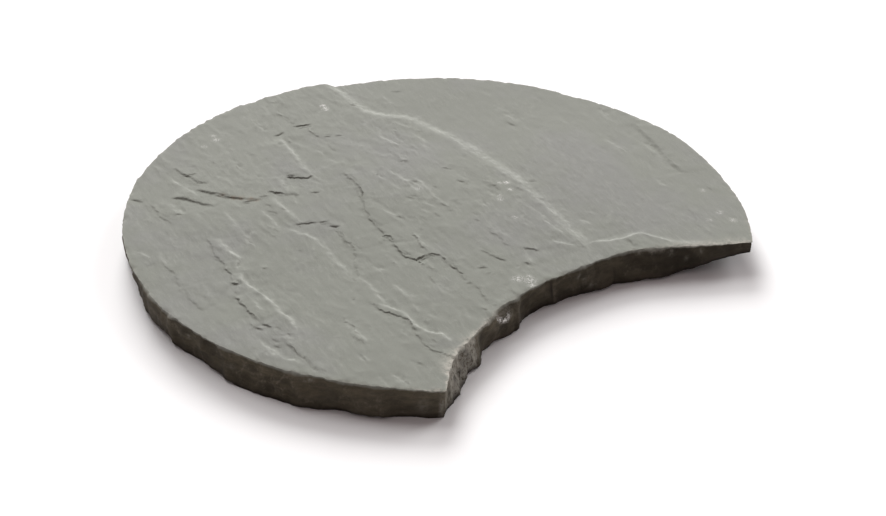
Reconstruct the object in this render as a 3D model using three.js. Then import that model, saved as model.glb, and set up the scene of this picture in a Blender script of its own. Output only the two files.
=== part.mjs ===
// Half-moon stepping stone: one slab of riven grey sandstone, dressed by hammer to a disc
// with a round bite out of it, so that the next stone's edge can nest in the bite.
// Millimetres. +Z is up and the bed lies on z = 0. The disc's centre is the origin, and
// the bite opens towards -Y.
import * as THREE from "three";

// Plan and thickness.
const DISC_RADIUS = 225;
const BITE_RADIUS = 236;
const BITE_DISTANCE = 351;
const THICKNESS = 22;

// The flake lost from under the right horn: the way to the horn's tip, and how high the
// underside is at some places along it.
const FLAKE_HEADING = Math.atan2(-0.75, 0.66);
const FLAKE = [
  [170, 0], [192, 6], [222, 13],
];

// The hammered wall: arrises about every ARRIS_PITCH with shallow scoops between them,
// and a bruised arris along the top rim.
const ARRIS_PITCH = 31;
const ARRIS_DRIFT = 9;
const SCOOP_DEPTH = 1.1;
const SCOOP_VARIATION = 0.9;
const BRUISE_DROP = 0.7;
const BRUISE_SWELL = 0.9;

// Facets: the spacing of points on the rim, along a ledge, on the riven face and on the
// bed, and the heights of the wall's rows as shares of its height.
const RIM_STEP = 5;
const LEDGE_STEP = 6;
const FACE_STEP = 8.2;
const BED_STEP = 27;
const WALL_ROWS = [1, 0.84, 0.42, 0];
const LEDGE_CLEARANCE = 3.4;
const RIM_CLEARANCE = 3.6;
const POINT_CLEARANCE = 1;

// A ledge fades out over this length at each end. Ledges that run out over the rim are
// drawn past it.
const LEDGE_TAPER = 12;

// Ledges of the riven face. Each line is walked with the higher stone on its left: drop
// is its height, run the width of its slope, and reach how far the stone stays raised on
// the high side and sunk on the low side before it levels out.
const LEDGES = [
  // The long rounded step from the bite to the back rim. The split is rougher to its left.
  {
    drop: 1.9, run: 4.5, reach: [38, 30],
    line: [[46, -102], [57, -82], [67, -55], [75, -28], [82, -2], [85, 15], [87, 45], [91, 78],
      [88, 114], [73, 145], [59, 158], [68, 176], [73, 210], [75, 228]],
  },
  // Its foot, which turns along the bite and runs out over the right part of the rim.
  {
    drop: 1.2, run: 3, reach: [14, 22],
    line: [[104, -142], [97, -123], [90, -110], [78, -109], [68, -106], [59, -99], [46, -97],
      [37, -79]],
  },
  // The raised plateau at the upper left: its ragged front, with a bay in it.
  {
    drop: 2, run: 1.4, reach: [34, 14],
    line: [[-108, 176], [-107, 164], [-104, 146], [-110, 134], [-102, 117], [-95, 105], [-85, 97],
      [-73, 100], [-67, 94], [-59, 104], [-51, 115], [-45, 106], [-34, 101]],
  },
  // The plateau's rounded right side, up to the back rim.
  {
    drop: 1.5, run: 2.6, reach: [26, 16],
    line: [[-36, 102], [-30, 113], [-24, 130], [-18, 150], [-13, 168]],
  },
  // Two short ledges between the plateau and the left rim.
  {
    drop: 0.9, run: 1.4, reach: [9, 9],
    line: [[-134, 141], [-127, 133], [-122, 119], [-118, 108]],
  },
  {
    drop: 0.8, run: 1.6, reach: [12, 10],
    line: [[-158, 160], [-152, 146], [-153, 130], [-156, 112]],
  },
  // The long ledge down the middle, nearly to the bite.
  {
    drop: 1.7, run: 1.3, reach: [24, 16],
    line: [[-13, 90], [-17, 72], [-24, 56], [-38, 33], [-45, 15], [-49, -1], [-51, -13], [-57, -29],
      [-53, -39], [-41, -38], [-38, -52], [-43, -71], [-47, -95], [-53, -111], [-63, -120],
      [-68, -142]],
  },
  // The ledge left of it.
  {
    drop: 1.3, run: 1.3, reach: [18, 14],
    line: [[-65, 41], [-75, 45], [-90, 53]].reverse(),
  },
  {
    drop: 0.9, run: 1.6, reach: [14, 14],
    line: [[-66, 34], [-73, 20], [-77, -2], [-92, -20], [-103, -34]],
  },
  // The narrow rib on the left horn, a crack on its left side.
  {
    drop: 1.4, run: 1.2, reach: [8, 10],
    line: [[-112, -62], [-114, -73], [-110, -90], [-114, -106], [-119, -121], [-117, -158]],
  },
  {
    drop: 0.9, run: 2.4, reach: [6, 12],
    line: [[-101, -152], [-102, -127], [-107, -100], [-106, -66]],
  },
  // The raised tongue near the left rim: its steep left side and its rounded right side.
  {
    drop: 1.9, run: 1.5, reach: [12, 14],
    line: [[-145, 80], [-157, 57], [-162, 37], [-170, 15], [-181, 0], [-186, -25], [-195, -50],
      [-193, -70], [-193, -88], [-195, -106]],
  },
  {
    drop: 1.5, run: 2.6, reach: [9, 18],
    line: [[-190, -68], [-175, -55], [-169, -35], [-164, -15], [-160, 20], [-147, 40], [-144, 66],
      [-142, 80]],
  },
  // The shallow step between the tongue and the left rim.
  {
    drop: 0.9, run: 2, reach: [14, 12],
    line: [[-190, 76], [-196, 48], [-203, 25], [-206, 0]],
  },
  // The rib beside the tongue, towards the left horn.
  {
    drop: 0.9, run: 1.6, reach: [6, 8],
    line: [[-151, -102], [-145, -80], [-139, -60]],
  },
  // The shallow steps right of the middle, and the one near the right rim.
  {
    drop: 0.8, run: 3, reach: [14, 14],
    line: [[12, 2], [18, 28], [16, 48], [19, 74]],
  },
  {
    drop: 0.9, run: 2.6, reach: [14, 12],
    line: [[50, -88], [52, -60], [59, -26]],
  },
  {
    drop: 0.8, run: 3, reach: [16, 12],
    line: [[218, 14], [206, -20], [196, -38], [186, -72]],
  },
];

// How far the hammered rim stands out past the two true arcs, at places along each: round
// the disc from the right horn's tip to the left one's, and back along the bite.
const DISC_RIM = [
  [0, 1], [45, 0.5], [85, -1], [140, 0], [160, 2], [255, 1.5], [265, 0], [280, 1.5],
  [340, 1.5], [380, 0], [425, -1], [440, -3], [467, -3.5], [472, 1], [500, 3], [512, 1],
  [524, 3], [536, 1], [546, 3], [600, 1], [683, 0], [688, 1], [720, 0], [800, 0],
  [850, 0.5], [875, 2], [960, 3], [1000, 2.5], [1040, 1], [1070, 1], [1087, -1],
];
const BITE_RIM = [
  [1087, 6], [1100, 5], [1120, 2], [1140, 2], [1152, 4], [1180, 3.5], [1186, 3.5],
  [1192, -0.5], [1204, -0.5], [1214, 2.5], [1225, 2], [1245, 2], [1254, 3.5], [1275, 3],
  [1300, 2], [1322, 1.5], [1332, 3], [1350, 6], [1366, 8], [1385, 8.5], [1396, 7.5],
  [1410, 6],
];
const RIM_REACH = 25;

// How far the foot of the wall stands out past the rim above it, or is undercut.
const FOOT = [
  [0, 0], [20, -3], [96, -3], [104, 0], [148, 0], [154, 4], [232, 4], [240, 0], [262, -2],
  [330, -2], [374, 0], [378, 5], [420, 5], [426, 0], [450, -3], [550, -3], [590, 0],
  [594, 4], [660, 4], [668, 0], [740, 0], [770, -2.5], [800, -6], [820, -5], [845, -2.5],
  [872, -2.5], [890, 0], [936, 0], [946, 3.5], [958, 5], [1012, 6], [1022, 2], [1055, 2.5],
  [1063, 0], [1087, 0.5], [1094, 1.5], [1104, 4], [1115, 8], [1124, 8], [1138, 7],
  [1148, 4.5], [1154, 7], [1160, 6], [1172, 1], [1186, 1], [1192, 7], [1204, 9],
  [1210, 7.5], [1215, 2], [1240, 0], [1252, 0], [1296, 5], [1305, 2.5], [1318, 6],
  [1336, 6.5], [1358, 1], [1410, 0],
];

// The rim: an arc of the disc, anticlockwise from the right horn's tip to the left one's,
// then back along the bite.
const TIP_Y = (BITE_RADIUS ** 2 - DISC_RADIUS ** 2 - BITE_DISTANCE ** 2) / (2 * BITE_DISTANCE);
const TIP_X = Math.sqrt(DISC_RADIUS ** 2 - TIP_Y ** 2);
const ARC_START = Math.atan2(TIP_Y, TIP_X);
const ARC_LENGTH = DISC_RADIUS * (Math.PI - 2 * ARC_START);
const BITE_HALF_ANGLE = Math.asin(TIP_X / BITE_RADIUS);
const BITE_LENGTH = 2 * BITE_HALF_ANGLE * BITE_RADIUS;
const RIM_LENGTH = ARC_LENGTH + BITE_LENGTH;

function smooth(value) {
  const t = Math.min(Math.max(value, 0), 1);
  return t * t * (3 - 2 * t);
}

// A quantity that changes along the rim, given at some places.
function follow(knots, place) {
  const next = knots.findIndex(([at]) => at > place);
  if (next < 0) return knots.at(-1)[1];
  if (next === 0) return knots[0][1];
  const [fromAt, from] = knots[next - 1];
  const [toAt, to] = knots[next];
  return from + ((to - from) * (place - fromAt)) / (toAt - fromAt);
}

// A point of the rim in plan, and the way out of the stone there. Near a tip, the stretch of
// each arc is carried along with the other arc's.
function rimPoint(along) {
  const onDisc = along < ARC_LENGTH;
  const discAngle = ARC_START + along / DISC_RADIUS;
  const biteAngle = Math.PI / 2 + BITE_HALF_ANGLE - (along - ARC_LENGTH) / BITE_RADIUS;
  const point = onDisc
    ? new THREE.Vector2(Math.cos(discAngle), Math.sin(discAngle)).multiplyScalar(DISC_RADIUS)
    : new THREE.Vector2(Math.cos(biteAngle), Math.sin(biteAngle)).multiplyScalar(BITE_RADIUS);
  if (!onDisc) point.y -= BITE_DISTANCE;

  const toDisc = DISC_RADIUS - point.length();
  const toBite = Math.hypot(point.x, point.y + BITE_DISTANCE) - BITE_RADIUS;
  const discOut = point.clone().normalize();
  const biteOut = new THREE.Vector2(-point.x, -point.y - BITE_DISTANCE).normalize();
  const nearTip = point.x > 0 ? 0 : ARC_LENGTH;
  const discMove = follow(DISC_RIM, onDisc ? along : nearTip) * smooth(1 - toDisc / RIM_REACH);
  const biteNearTip = point.x > 0 ? RIM_LENGTH : ARC_LENGTH;
  const biteMove = follow(BITE_RIM, onDisc ? biteNearTip : along) * smooth(1 - toBite / RIM_REACH);
  point.addScaledVector(discOut, discMove).addScaledVector(biteOut, biteMove);
  return { point, outward: onDisc ? discOut : biteOut };
}

// The scoop between two arrises of the wall, at a share of the wall's height.
function scoop(along, share) {
  const arris = (k) => k * ARRIS_PITCH + ARRIS_DRIFT * Math.sin(2.4 * k);
  let k = Math.floor(along / ARRIS_PITCH);
  while (arris(k + 1) < along) k += 1;
  while (arris(k) > along) k -= 1;
  const t = (along - arris(k)) / (arris(k + 1) - arris(k));
  const depth = SCOOP_DEPTH + SCOOP_VARIATION * Math.sin(5.1 * k);
  const struckLow = k % 2 === 0;
  const profile = struckLow ? 1 - share : 4 * share * (1 - share);
  return depth * 4 * t * (1 - t) * profile;
}

// The riven face: a gentle roll of the bedding, and the ledges.
function bedding(x, y) {
  return 0.5 * Math.sin(0.021 * x + 0.008 * y + 0.6)
    + 0.3 * Math.sin(0.046 * x - 0.016 * y + 2)
    + 0.25 * Math.sin(0.033 * y + 0.013 * x);
}

function ledgeHeight(ledge, x, y) {
  let nearest = Infinity;
  let side = 1;
  let reached = 0;
  let walked = 0;
  for (let i = 1; i < ledge.line.length; i += 1) {
    const [ax, ay] = ledge.line[i - 1];
    const [bx, by] = ledge.line[i];
    const length = Math.hypot(bx - ax, by - ay);
    const ux = (bx - ax) / length;
    const uy = (by - ay) / length;
    const along = Math.min(Math.max((x - ax) * ux + (y - ay) * uy, 0), length);
    const distance = Math.hypot(x - ax - along * ux, y - ay - along * uy);
    if (distance < nearest) {
      nearest = distance;
      side = Math.sign(ux * (y - ay) - uy * (x - ax)) || 1;
      reached = walked + along;
    }
    walked += length;
  }
  const halfRun = ledge.run / 2;
  const reach = side > 0 ? ledge.reach[0] : ledge.reach[1];
  const step = 0.5 * side * Math.min(nearest / halfRun, 1);
  const fade = Math.exp(-Math.max(nearest - halfRun, 0) / reach);
  const taper = smooth(Math.min(reached, walked - reached) / LEDGE_TAPER);
  return ledge.drop * step * fade * taper;
}

function faceHeight(x, y) {
  let height = THICKNESS + bedding(x, y);
  for (const ledge of LEDGES) height += ledgeHeight(ledge, x, y);
  return height;
}

// The underside: flat, but for the flake lost from under the right horn.
function bedHeight(x, y) {
  const towardsTip = x * Math.cos(FLAKE_HEADING) + y * Math.sin(FLAKE_HEADING);
  return follow(FLAKE, towardsTip);
}

function insideRing(x, y, ring) {
  let inside = false;
  for (let i = 0, j = ring.length - 1; i < ring.length; j = i, i += 1) {
    const [ax, ay] = ring[i];
    const [bx, by] = ring[j];
    if ((ay > y) !== (by > y) && x < ax + ((bx - ax) * (y - ay)) / (by - ay)) inside = !inside;
  }
  return inside;
}

const clearOf = (x, y, points, gap) => points.every(([px, py]) => Math.hypot(px - x, py - y) > gap);

// Points in a net inside a ring, a little out of line so that no four lie on one circle.
function netPoints(ring, step, rimGap, others, otherGap) {
  const points = [];
  const rows = Math.ceil((2 * DISC_RADIUS) / (step * Math.sin(Math.PI / 3)));
  for (let row = 0; row <= rows; row += 1) {
    const baseY = row * step * Math.sin(Math.PI / 3) - DISC_RADIUS;
    for (let column = 0; column <= (2 * DISC_RADIUS) / step; column += 1) {
      const slip = 0.12 * step * Math.sin(12.9 * row + 78.2 * column);
      const x = (column + (row % 2) / 2) * step - DISC_RADIUS + slip;
      const y = baseY + 0.12 * step * Math.cos(39.3 * row + 11.1 * column);
      const free = clearOf(x, y, ring, rimGap) && clearOf(x, y, others, otherGap);
      if (free && insideRing(x, y, ring)) points.push([x, y]);
    }
  }
  return points;
}

// Both edges of every ledge's slope, so that each ledge is crisp.
function ledgePoints(ring) {
  const points = [];
  for (const ledge of LEDGES) {
    const line = ledge.line.map(([x, y]) => new THREE.Vector3(x, y, 0));
    const curve = new THREE.CatmullRomCurve3(line, false, "centripetal");
    const steps = Math.round(curve.getLength() / LEDGE_STEP);
    for (let i = 0; i <= steps; i += 1) {
      const middle = curve.getPointAt(i / steps);
      const ahead = curve.getTangentAt(i / steps);
      for (const side of [-0.5, 0.5]) {
        const x = middle.x - side * ledge.run * ahead.y;
        const y = middle.y + side * ledge.run * ahead.x;
        const free = clearOf(x, y, ring, RIM_CLEARANCE) && clearOf(x, y, points, POINT_CLEARANCE);
        if (free && insideRing(x, y, ring)) points.push([x, y]);
      }
    }
  }
  return points;
}

// Delaunay triangles of a set of points, inserted one at a time.
function triangulate(points) {
  const far = 20 * DISC_RADIUS;
  const all = [...points, [-far, -far], [far, -far], [0, far]];
  const circled = (a, b, c) => {
    const [ax, ay] = all[a];
    const bx = all[b][0] - ax;
    const by = all[b][1] - ay;
    const cx = all[c][0] - ax;
    const cy = all[c][1] - ay;
    const twice = 2 * (bx * cy - by * cx);
    const ux = (cy * (bx * bx + by * by) - by * (cx * cx + cy * cy)) / twice;
    const uy = (bx * (cx * cx + cy * cy) - cx * (bx * bx + by * by)) / twice;
    return { corners: [a, b, c], x: ax + ux, y: ay + uy, radius2: ux * ux + uy * uy };
  };
  const count = points.length;
  let triangles = [circled(count, count + 1, count + 2)];
  for (let index = 0; index < count; index += 1) {
    const [x, y] = all[index];
    const border = new Map();
    const kept = [];
    for (const triangle of triangles) {
      if ((triangle.x - x) ** 2 + (triangle.y - y) ** 2 >= triangle.radius2) {
        kept.push(triangle);
        continue;
      }
      for (let side = 0; side < 3; side += 1) {
        const from = triangle.corners[side];
        const to = triangle.corners[(side + 1) % 3];
        if (!border.delete(`${to},${from}`)) border.set(`${from},${to}`, [from, to]);
      }
    }
    for (const [from, to] of border.values()) kept.push(circled(from, to, index));
    triangles = kept;
  }
  return triangles.map((triangle) => triangle.corners).filter((corners) => Math.max(...corners) < count);
}

// The triangles of a net that lie inside its ring, anticlockwise from above.
function facesInside(points, ring) {
  return triangulate(points).filter((corners) => {
    const x = (points[corners[0]][0] + points[corners[1]][0] + points[corners[2]][0]) / 3;
    const y = (points[corners[0]][1] + points[corners[1]][1] + points[corners[2]][1]) / 3;
    return insideRing(x, y, ring);
  });
}

function slabGeometry() {
  const arcSteps = Math.round(ARC_LENGTH / RIM_STEP);
  const biteSteps = Math.round(BITE_LENGTH / RIM_STEP);
  const stations = [];
  for (let i = 0; i < arcSteps; i += 1) stations.push((i * ARC_LENGTH) / arcSteps);
  for (let i = 0; i < biteSteps; i += 1) stations.push(ARC_LENGTH + (i * BITE_LENGTH) / biteSteps);
  const count = stations.length;

  const positions = [];
  const indices = [];
  const add = (x, y, z) => positions.push(x, y, z) / 3 - 1;

  // Wall rows, from the rim down to the foot.
  const rows = WALL_ROWS.map((share) => stations.map((along) => {
    const { point, outward } = rimPoint(along);
    const foot = point.clone().addScaledVector(outward, follow(FOOT, along));
    const top = faceHeight(point.x, point.y) - BRUISE_DROP;
    const bottom = bedHeight(foot.x, foot.y);
    const swell = share < 1 ? BRUISE_SWELL * share : 0;
    const out = follow(FOOT, along) * (1 - share) + swell - scoop(along, share) * (share < 1 ? 1 : 0);
    const place = point.clone().addScaledVector(outward, out);
    return { x: place.x, y: place.y, z: bottom + (top - bottom) * share };
  }));
  const rowStarts = rows.map((row) => row.map(({ x, y, z }) => add(x, y, z))[0]);
  for (let row = 1; row < rows.length; row += 1) {
    for (let i = 0; i < count; i += 1) {
      const next = (i + 1) % count;
      const high = rowStarts[row - 1];
      const low = rowStarts[row];
      indices.push(low + i, low + next, high + next, low + i, high + next, high + i);
    }
  }

  // The riven face.
  const rim = rows[0].map(({ x, y }) => [x, y]);
  const ledges = ledgePoints(rim);
  const field = netPoints(rim, FACE_STEP, RIM_CLEARANCE, ledges, LEDGE_CLEARANCE);
  const facePoints = [...rim, ...ledges, ...field];
  const faceIndex = facePoints.map(([x, y], i) => (i < count ? i : add(x, y, faceHeight(x, y))));
  for (const [a, b, c] of facesInside(facePoints, rim)) {
    indices.push(faceIndex[a], faceIndex[b], faceIndex[c]);
  }

  // The bed, with the crease where the flake under the horn starts.
  const foot = rows.at(-1).map(({ x, y }) => [x, y]);
  const crease = [];
  const flakeStart = FLAKE[0][0];
  for (let across = -DISC_RADIUS; across < DISC_RADIUS; across += BED_STEP / 2) {
    const x = flakeStart * Math.cos(FLAKE_HEADING) - across * Math.sin(FLAKE_HEADING);
    const y = flakeStart * Math.sin(FLAKE_HEADING) + across * Math.cos(FLAKE_HEADING);
    if (clearOf(x, y, foot, RIM_CLEARANCE) && insideRing(x, y, foot)) crease.push([x, y]);
  }
  const under = netPoints(foot, BED_STEP, BED_STEP / 3, crease, BED_STEP / 3);
  const bedPoints = [...foot, ...crease, ...under];
  const lowest = rowStarts.at(-1);
  const bedIndex = bedPoints.map(([x, y], i) => (i < count ? lowest + i : add(x, y, bedHeight(x, y))));
  for (const [a, b, c] of facesInside(bedPoints, foot)) {
    indices.push(bedIndex[a], bedIndex[c], bedIndex[b]);
  }

  const geometry = new THREE.BufferGeometry();
  geometry.setAttribute("position", new THREE.Float32BufferAttribute(positions, 3));
  geometry.setIndex(indices);
  geometry.computeVertexNormals();
  return geometry;
}

// Grey sandstone, matt.
const sandstone = new THREE.MeshStandardMaterial({
  color: 0x98998f,
  roughness: 0.9,
  metalness: 0,
  flatShading: true,
});

const stone = new THREE.Mesh(slabGeometry(), sandstone);
stone.name = "stone";

const steppingStone = new THREE.Group();
steppingStone.name = "half_moon_stepping_stone";
steppingStone.add(stone);

export default steppingStone;
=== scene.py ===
import math
from collections import namedtuple

import bmesh
import bpy
import numpy as np
from mathutils import Matrix, Vector
from mathutils.geometry import delaunay_2d_cdt


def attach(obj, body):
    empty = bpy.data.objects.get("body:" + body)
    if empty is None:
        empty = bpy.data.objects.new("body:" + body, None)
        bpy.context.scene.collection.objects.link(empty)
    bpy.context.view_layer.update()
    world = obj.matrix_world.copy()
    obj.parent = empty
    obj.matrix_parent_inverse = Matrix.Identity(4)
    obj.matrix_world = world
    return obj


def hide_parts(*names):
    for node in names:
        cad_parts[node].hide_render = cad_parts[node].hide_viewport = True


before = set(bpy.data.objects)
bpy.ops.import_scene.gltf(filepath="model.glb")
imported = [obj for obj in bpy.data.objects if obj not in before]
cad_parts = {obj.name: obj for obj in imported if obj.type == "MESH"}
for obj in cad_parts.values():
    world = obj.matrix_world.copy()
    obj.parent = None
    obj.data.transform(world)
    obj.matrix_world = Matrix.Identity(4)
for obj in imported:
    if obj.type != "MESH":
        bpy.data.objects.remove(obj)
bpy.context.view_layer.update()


# ---------------------------------------------------------------------------------------
# Camera, light and floor.
# A plain studio: a near-white floor and pale surround, one broad low softbox behind the
# stone, so that the ledges throw their shade towards the camera, a wider one above it, and
# a weaker one at the right that catches the end of the left horn.
# ---------------------------------------------------------------------------------------
MM = 0.001
CAMERA_PLACE = Vector((-886.95, -972.4, 769.34)) * MM
CAMERA_AIM = Vector((-38.2, -49.5, 22.0)) * MM
CAMERA_ROLL = math.radians(1.591)
CAMERA_LENS = 85
CAMERA_REACH = 50
SENSOR_WIDTH = 36

camera_data = bpy.data.cameras.new("camera")
camera_data.lens = CAMERA_LENS
camera_data.sensor_width = SENSOR_WIDTH
camera_data.clip_end = CAMERA_REACH
camera = bpy.data.objects.new("camera", camera_data)
bpy.context.scene.collection.objects.link(camera)
looking = (CAMERA_AIM - CAMERA_PLACE).to_track_quat("-Z", "Y").to_matrix().to_4x4()
rolled = looking @ Matrix.Rotation(CAMERA_ROLL, 4, "Z")
camera.matrix_world = Matrix.Translation(CAMERA_PLACE) @ rolled
bpy.context.scene.camera = camera

# Each softbox: its heading seen from above, anticlockwise from +X, its height and spread
# in degrees, and its strength.
SOFTBOXES = [
    ("back_softbox", 60, 25, 30, 4.15),
    ("high_softbox", 85, 50, 40, 1.35),
    ("right_softbox", 4, 26, 32, 1.3),
]
for name, heading, height, spread, strength in SOFTBOXES:
    lamp_data = bpy.data.lights.new(name, "SUN")
    lamp_data.angle = math.radians(spread)
    lamp_data.energy = strength
    lamp = bpy.data.objects.new(name, lamp_data)
    bpy.context.scene.collection.objects.link(lamp)
    turn, rise = math.radians(heading), math.radians(height)
    shines_from = Vector((math.cos(rise) * math.cos(turn), math.cos(rise) * math.sin(turn), math.sin(rise)))
    lamp.rotation_euler = shines_from.to_track_quat("Z", "Y").to_euler()

SURROUND = (1.0, 0.86, 0.86, 1.0)
SURROUND_STRENGTH = 0.25
WHITE = (1.0, 1.0, 1.0, 1.0)

world = bpy.data.worlds.new("surround")
world.use_nodes = True
sky = world.node_tree
surround = sky.nodes["Background"]
surround.inputs["Color"].default_value = SURROUND
surround.inputs["Strength"].default_value = SURROUND_STRENGTH
# Seen past the floor's edge, the surround is as white as the floor.
paper = sky.nodes.new("ShaderNodeBackground")
paper.inputs["Color"].default_value = WHITE
seen_past = sky.nodes.new("ShaderNodeLightPath")
either = sky.nodes.new("ShaderNodeMixShader")
sky.links.new(seen_past.outputs["Is Camera Ray"], either.inputs[0])
sky.links.new(surround.outputs[0], either.inputs[1])
sky.links.new(paper.outputs[0], either.inputs[2])
sky.links.new(either.outputs[0], sky.nodes["World Output"].inputs["Surface"])
bpy.context.scene.world = world
bpy.context.scene.view_settings.view_transform = "Standard"

FLOOR_SIZE = 12.0
FLOOR_COLOUR = (0.88, 0.88, 0.88, 1.0)
FLOOR_ROUGHNESS = 0.9
FLOOR_SHINE = 0.1

bpy.ops.object.select_all(action="DESELECT")
bpy.ops.mesh.primitive_plane_add(size=FLOOR_SIZE, location=(0, 0, 0))
floor = bpy.context.object
floor.name = "floor"
floor_finish = bpy.data.materials.new("floor_paper")
floor_finish.use_nodes = True
floor_shader = floor_finish.node_tree.nodes["Principled BSDF"]
floor_shader.inputs["Base Color"].default_value = FLOOR_COLOUR
floor_shader.inputs["Roughness"].default_value = FLOOR_ROUGHNESS
floor_shader.inputs["Specular IOR Level"].default_value = FLOOR_SHINE
floor.data.materials.append(floor_finish)


# ---------------------------------------------------------------------------------------
# The stone.
# One slab of grey sandstone, split along its bedding and hammered to a disc with a round
# bite out of it. The top is the riven face with its ledges, the wall is struck off in
# scoops, and the bed is flat but for a flake lost from under the right horn.
# ---------------------------------------------------------------------------------------
# Lengths are in millimetres until the mesh is written. A place along the rim is counted
# from the right horn's tip, round the back to the left horn's tip, and on along the bite.
DISC_RADIUS = 225.0
BITE_RADIUS = 236.0
BITE_DISTANCE = 351.0
THICKNESS = 22.0
RIM_STEP = 1.5  # pitch of the points round the rim
WALL_ROWS = 12
FAR = 1e9  # farther off than anything

TIP_Y = (BITE_RADIUS**2 - DISC_RADIUS**2 - BITE_DISTANCE**2) / (2 * BITE_DISTANCE)
TIP_X = math.sqrt(DISC_RADIUS**2 - TIP_Y**2)
ARC_START = math.atan2(TIP_Y, TIP_X)
ARC_LENGTH = DISC_RADIUS * (math.pi - 2 * ARC_START)
BITE_HALF_ANGLE = math.asin(TIP_X / BITE_RADIUS)
RIM_LENGTH = ARC_LENGTH + 2 * BITE_HALF_ANGLE * BITE_RADIUS


def smooth(value):
    """An even rise from 0 to 1, level at both ends."""
    t = np.clip(value, 0, 1)
    return t * t * (3 - 2 * t)


def lengths(steps):
    return np.hypot(steps[:, 0], steps[:, 1])


def unit(steps):
    return steps / lengths(steps)[:, None]


def leftward(steps):
    return np.stack([-steps[:, 1], steps[:, 0]], 1)


def walked_by(steps):
    return np.concatenate([[0], np.cumsum(lengths(steps))])


def select(*parts):
    """These objects alone are selected, and the last is the active one."""
    bpy.ops.object.select_all(action="DESELECT")
    for part in parts:
        part.select_set(True)
    bpy.context.view_layer.objects.active = parts[-1]


# The blank: a disc with the bite cut from it, and rows of edges round its wall.
def add_round(name, radius, depth, centre_y, centre_z):
    sides = int(round(2 * math.pi * radius / RIM_STEP / 4)) * 4
    bpy.ops.object.select_all(action="DESELECT")
    bpy.ops.mesh.primitive_cylinder_add(
        vertices=sides, radius=radius * MM, depth=depth * MM, end_fill_type="NGON",
        location=(0, centre_y * MM, centre_z * MM))
    made = bpy.context.object
    made.name = name
    bpy.ops.object.transform_apply(location=True, rotation=False, scale=False)
    return made


stone = add_round("stone_slab", DISC_RADIUS, THICKNESS, 0, THICKNESS / 2)
cutter = add_round("bite_cutter", BITE_RADIUS, 3 * THICKNESS, -BITE_DISTANCE, THICKNESS / 2)
bite = stone.modifiers.new("bite", "BOOLEAN")
bite.operation = "DIFFERENCE"
bite.object = cutter
bite.solver = "EXACT"
select(stone)
bpy.ops.object.modifier_apply(modifier="bite")
bpy.data.objects.remove(cutter)

# Its flat ends are taken off, to be closed with finer nets.
LEVEL = 0.9  # a flat face's normal is at least this upright

bpy.ops.object.mode_set(mode="EDIT")
for row in range(1, WALL_ROWS):
    bpy.ops.mesh.select_all(action="SELECT")
    height = THICKNESS * row / WALL_ROWS * MM
    bpy.ops.mesh.bisect(plane_co=(0, 0, height), plane_no=(0, 0, 1))
bpy.ops.mesh.select_mode(type="FACE")
bpy.ops.mesh.select_all(action="DESELECT")
slab = bmesh.from_edit_mesh(stone.data)
for face in slab.faces:
    face.select = abs(face.normal.z) > LEVEL
bmesh.update_edit_mesh(stone.data)
bpy.ops.mesh.delete(type="ONLY_FACE")
bpy.ops.object.mode_set(mode="OBJECT")


def open_ring(height):
    """One of the blank's two open rims, as a closed ring of plan points."""
    ring = bmesh.new()
    ring.from_mesh(stone.data)
    edges = [e for e in ring.edges if e.is_boundary and abs(e.verts[0].co.z - height * MM) < MM / 10]
    follows = {}
    for edge in edges:
        for vert in edge.verts:
            follows.setdefault(vert.index, []).append(edge.other_vert(vert).index)
    ring.verts.ensure_lookup_table()
    first = edges[0].verts[0].index
    order = [first, follows[first][0]]
    while True:
        ahead = [v for v in follows[order[-1]] if v != order[-2]][0]
        if ahead == first:
            break
        order.append(ahead)
    points = np.array([ring.verts[i].co.xy for i in order]) / MM
    ring.free()
    area = np.sum(points[:, 0] * np.roll(points[:, 1], -1) - points[:, 1] * np.roll(points[:, 0], -1))
    return points if area > 0 else points[::-1]


LATTICE = 256


def noise(x, y, pitch, seed):
    """Smooth noise from a seeded lattice of random heights, -1 to 1, of one pitch or of two."""
    heights = np.random.default_rng(seed).uniform(-1, 1, (LATTICE, LATTICE))
    pitch_x, pitch_y = np.broadcast_to(pitch, 2)
    x, y = x / pitch_x, y / pitch_y
    column, row = np.floor(x).astype(int), np.floor(y).astype(int)
    u, v = smooth(x - column), smooth(y - row)
    left, right = column % LATTICE, (column + 1) % LATTICE
    low, high = [heights[r % LATTICE, left] * (1 - u) + heights[r % LATTICE, right] * u
                 for r in (row, row + 1)]
    return low * (1 - v) + high * v


def mixed(x, y, parts, seed):
    """Noises added up, each part given by its strength and its pitch."""
    return sum(strength * noise(x, y, pitch, seed + k) for k, (strength, pitch) in enumerate(parts))


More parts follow.
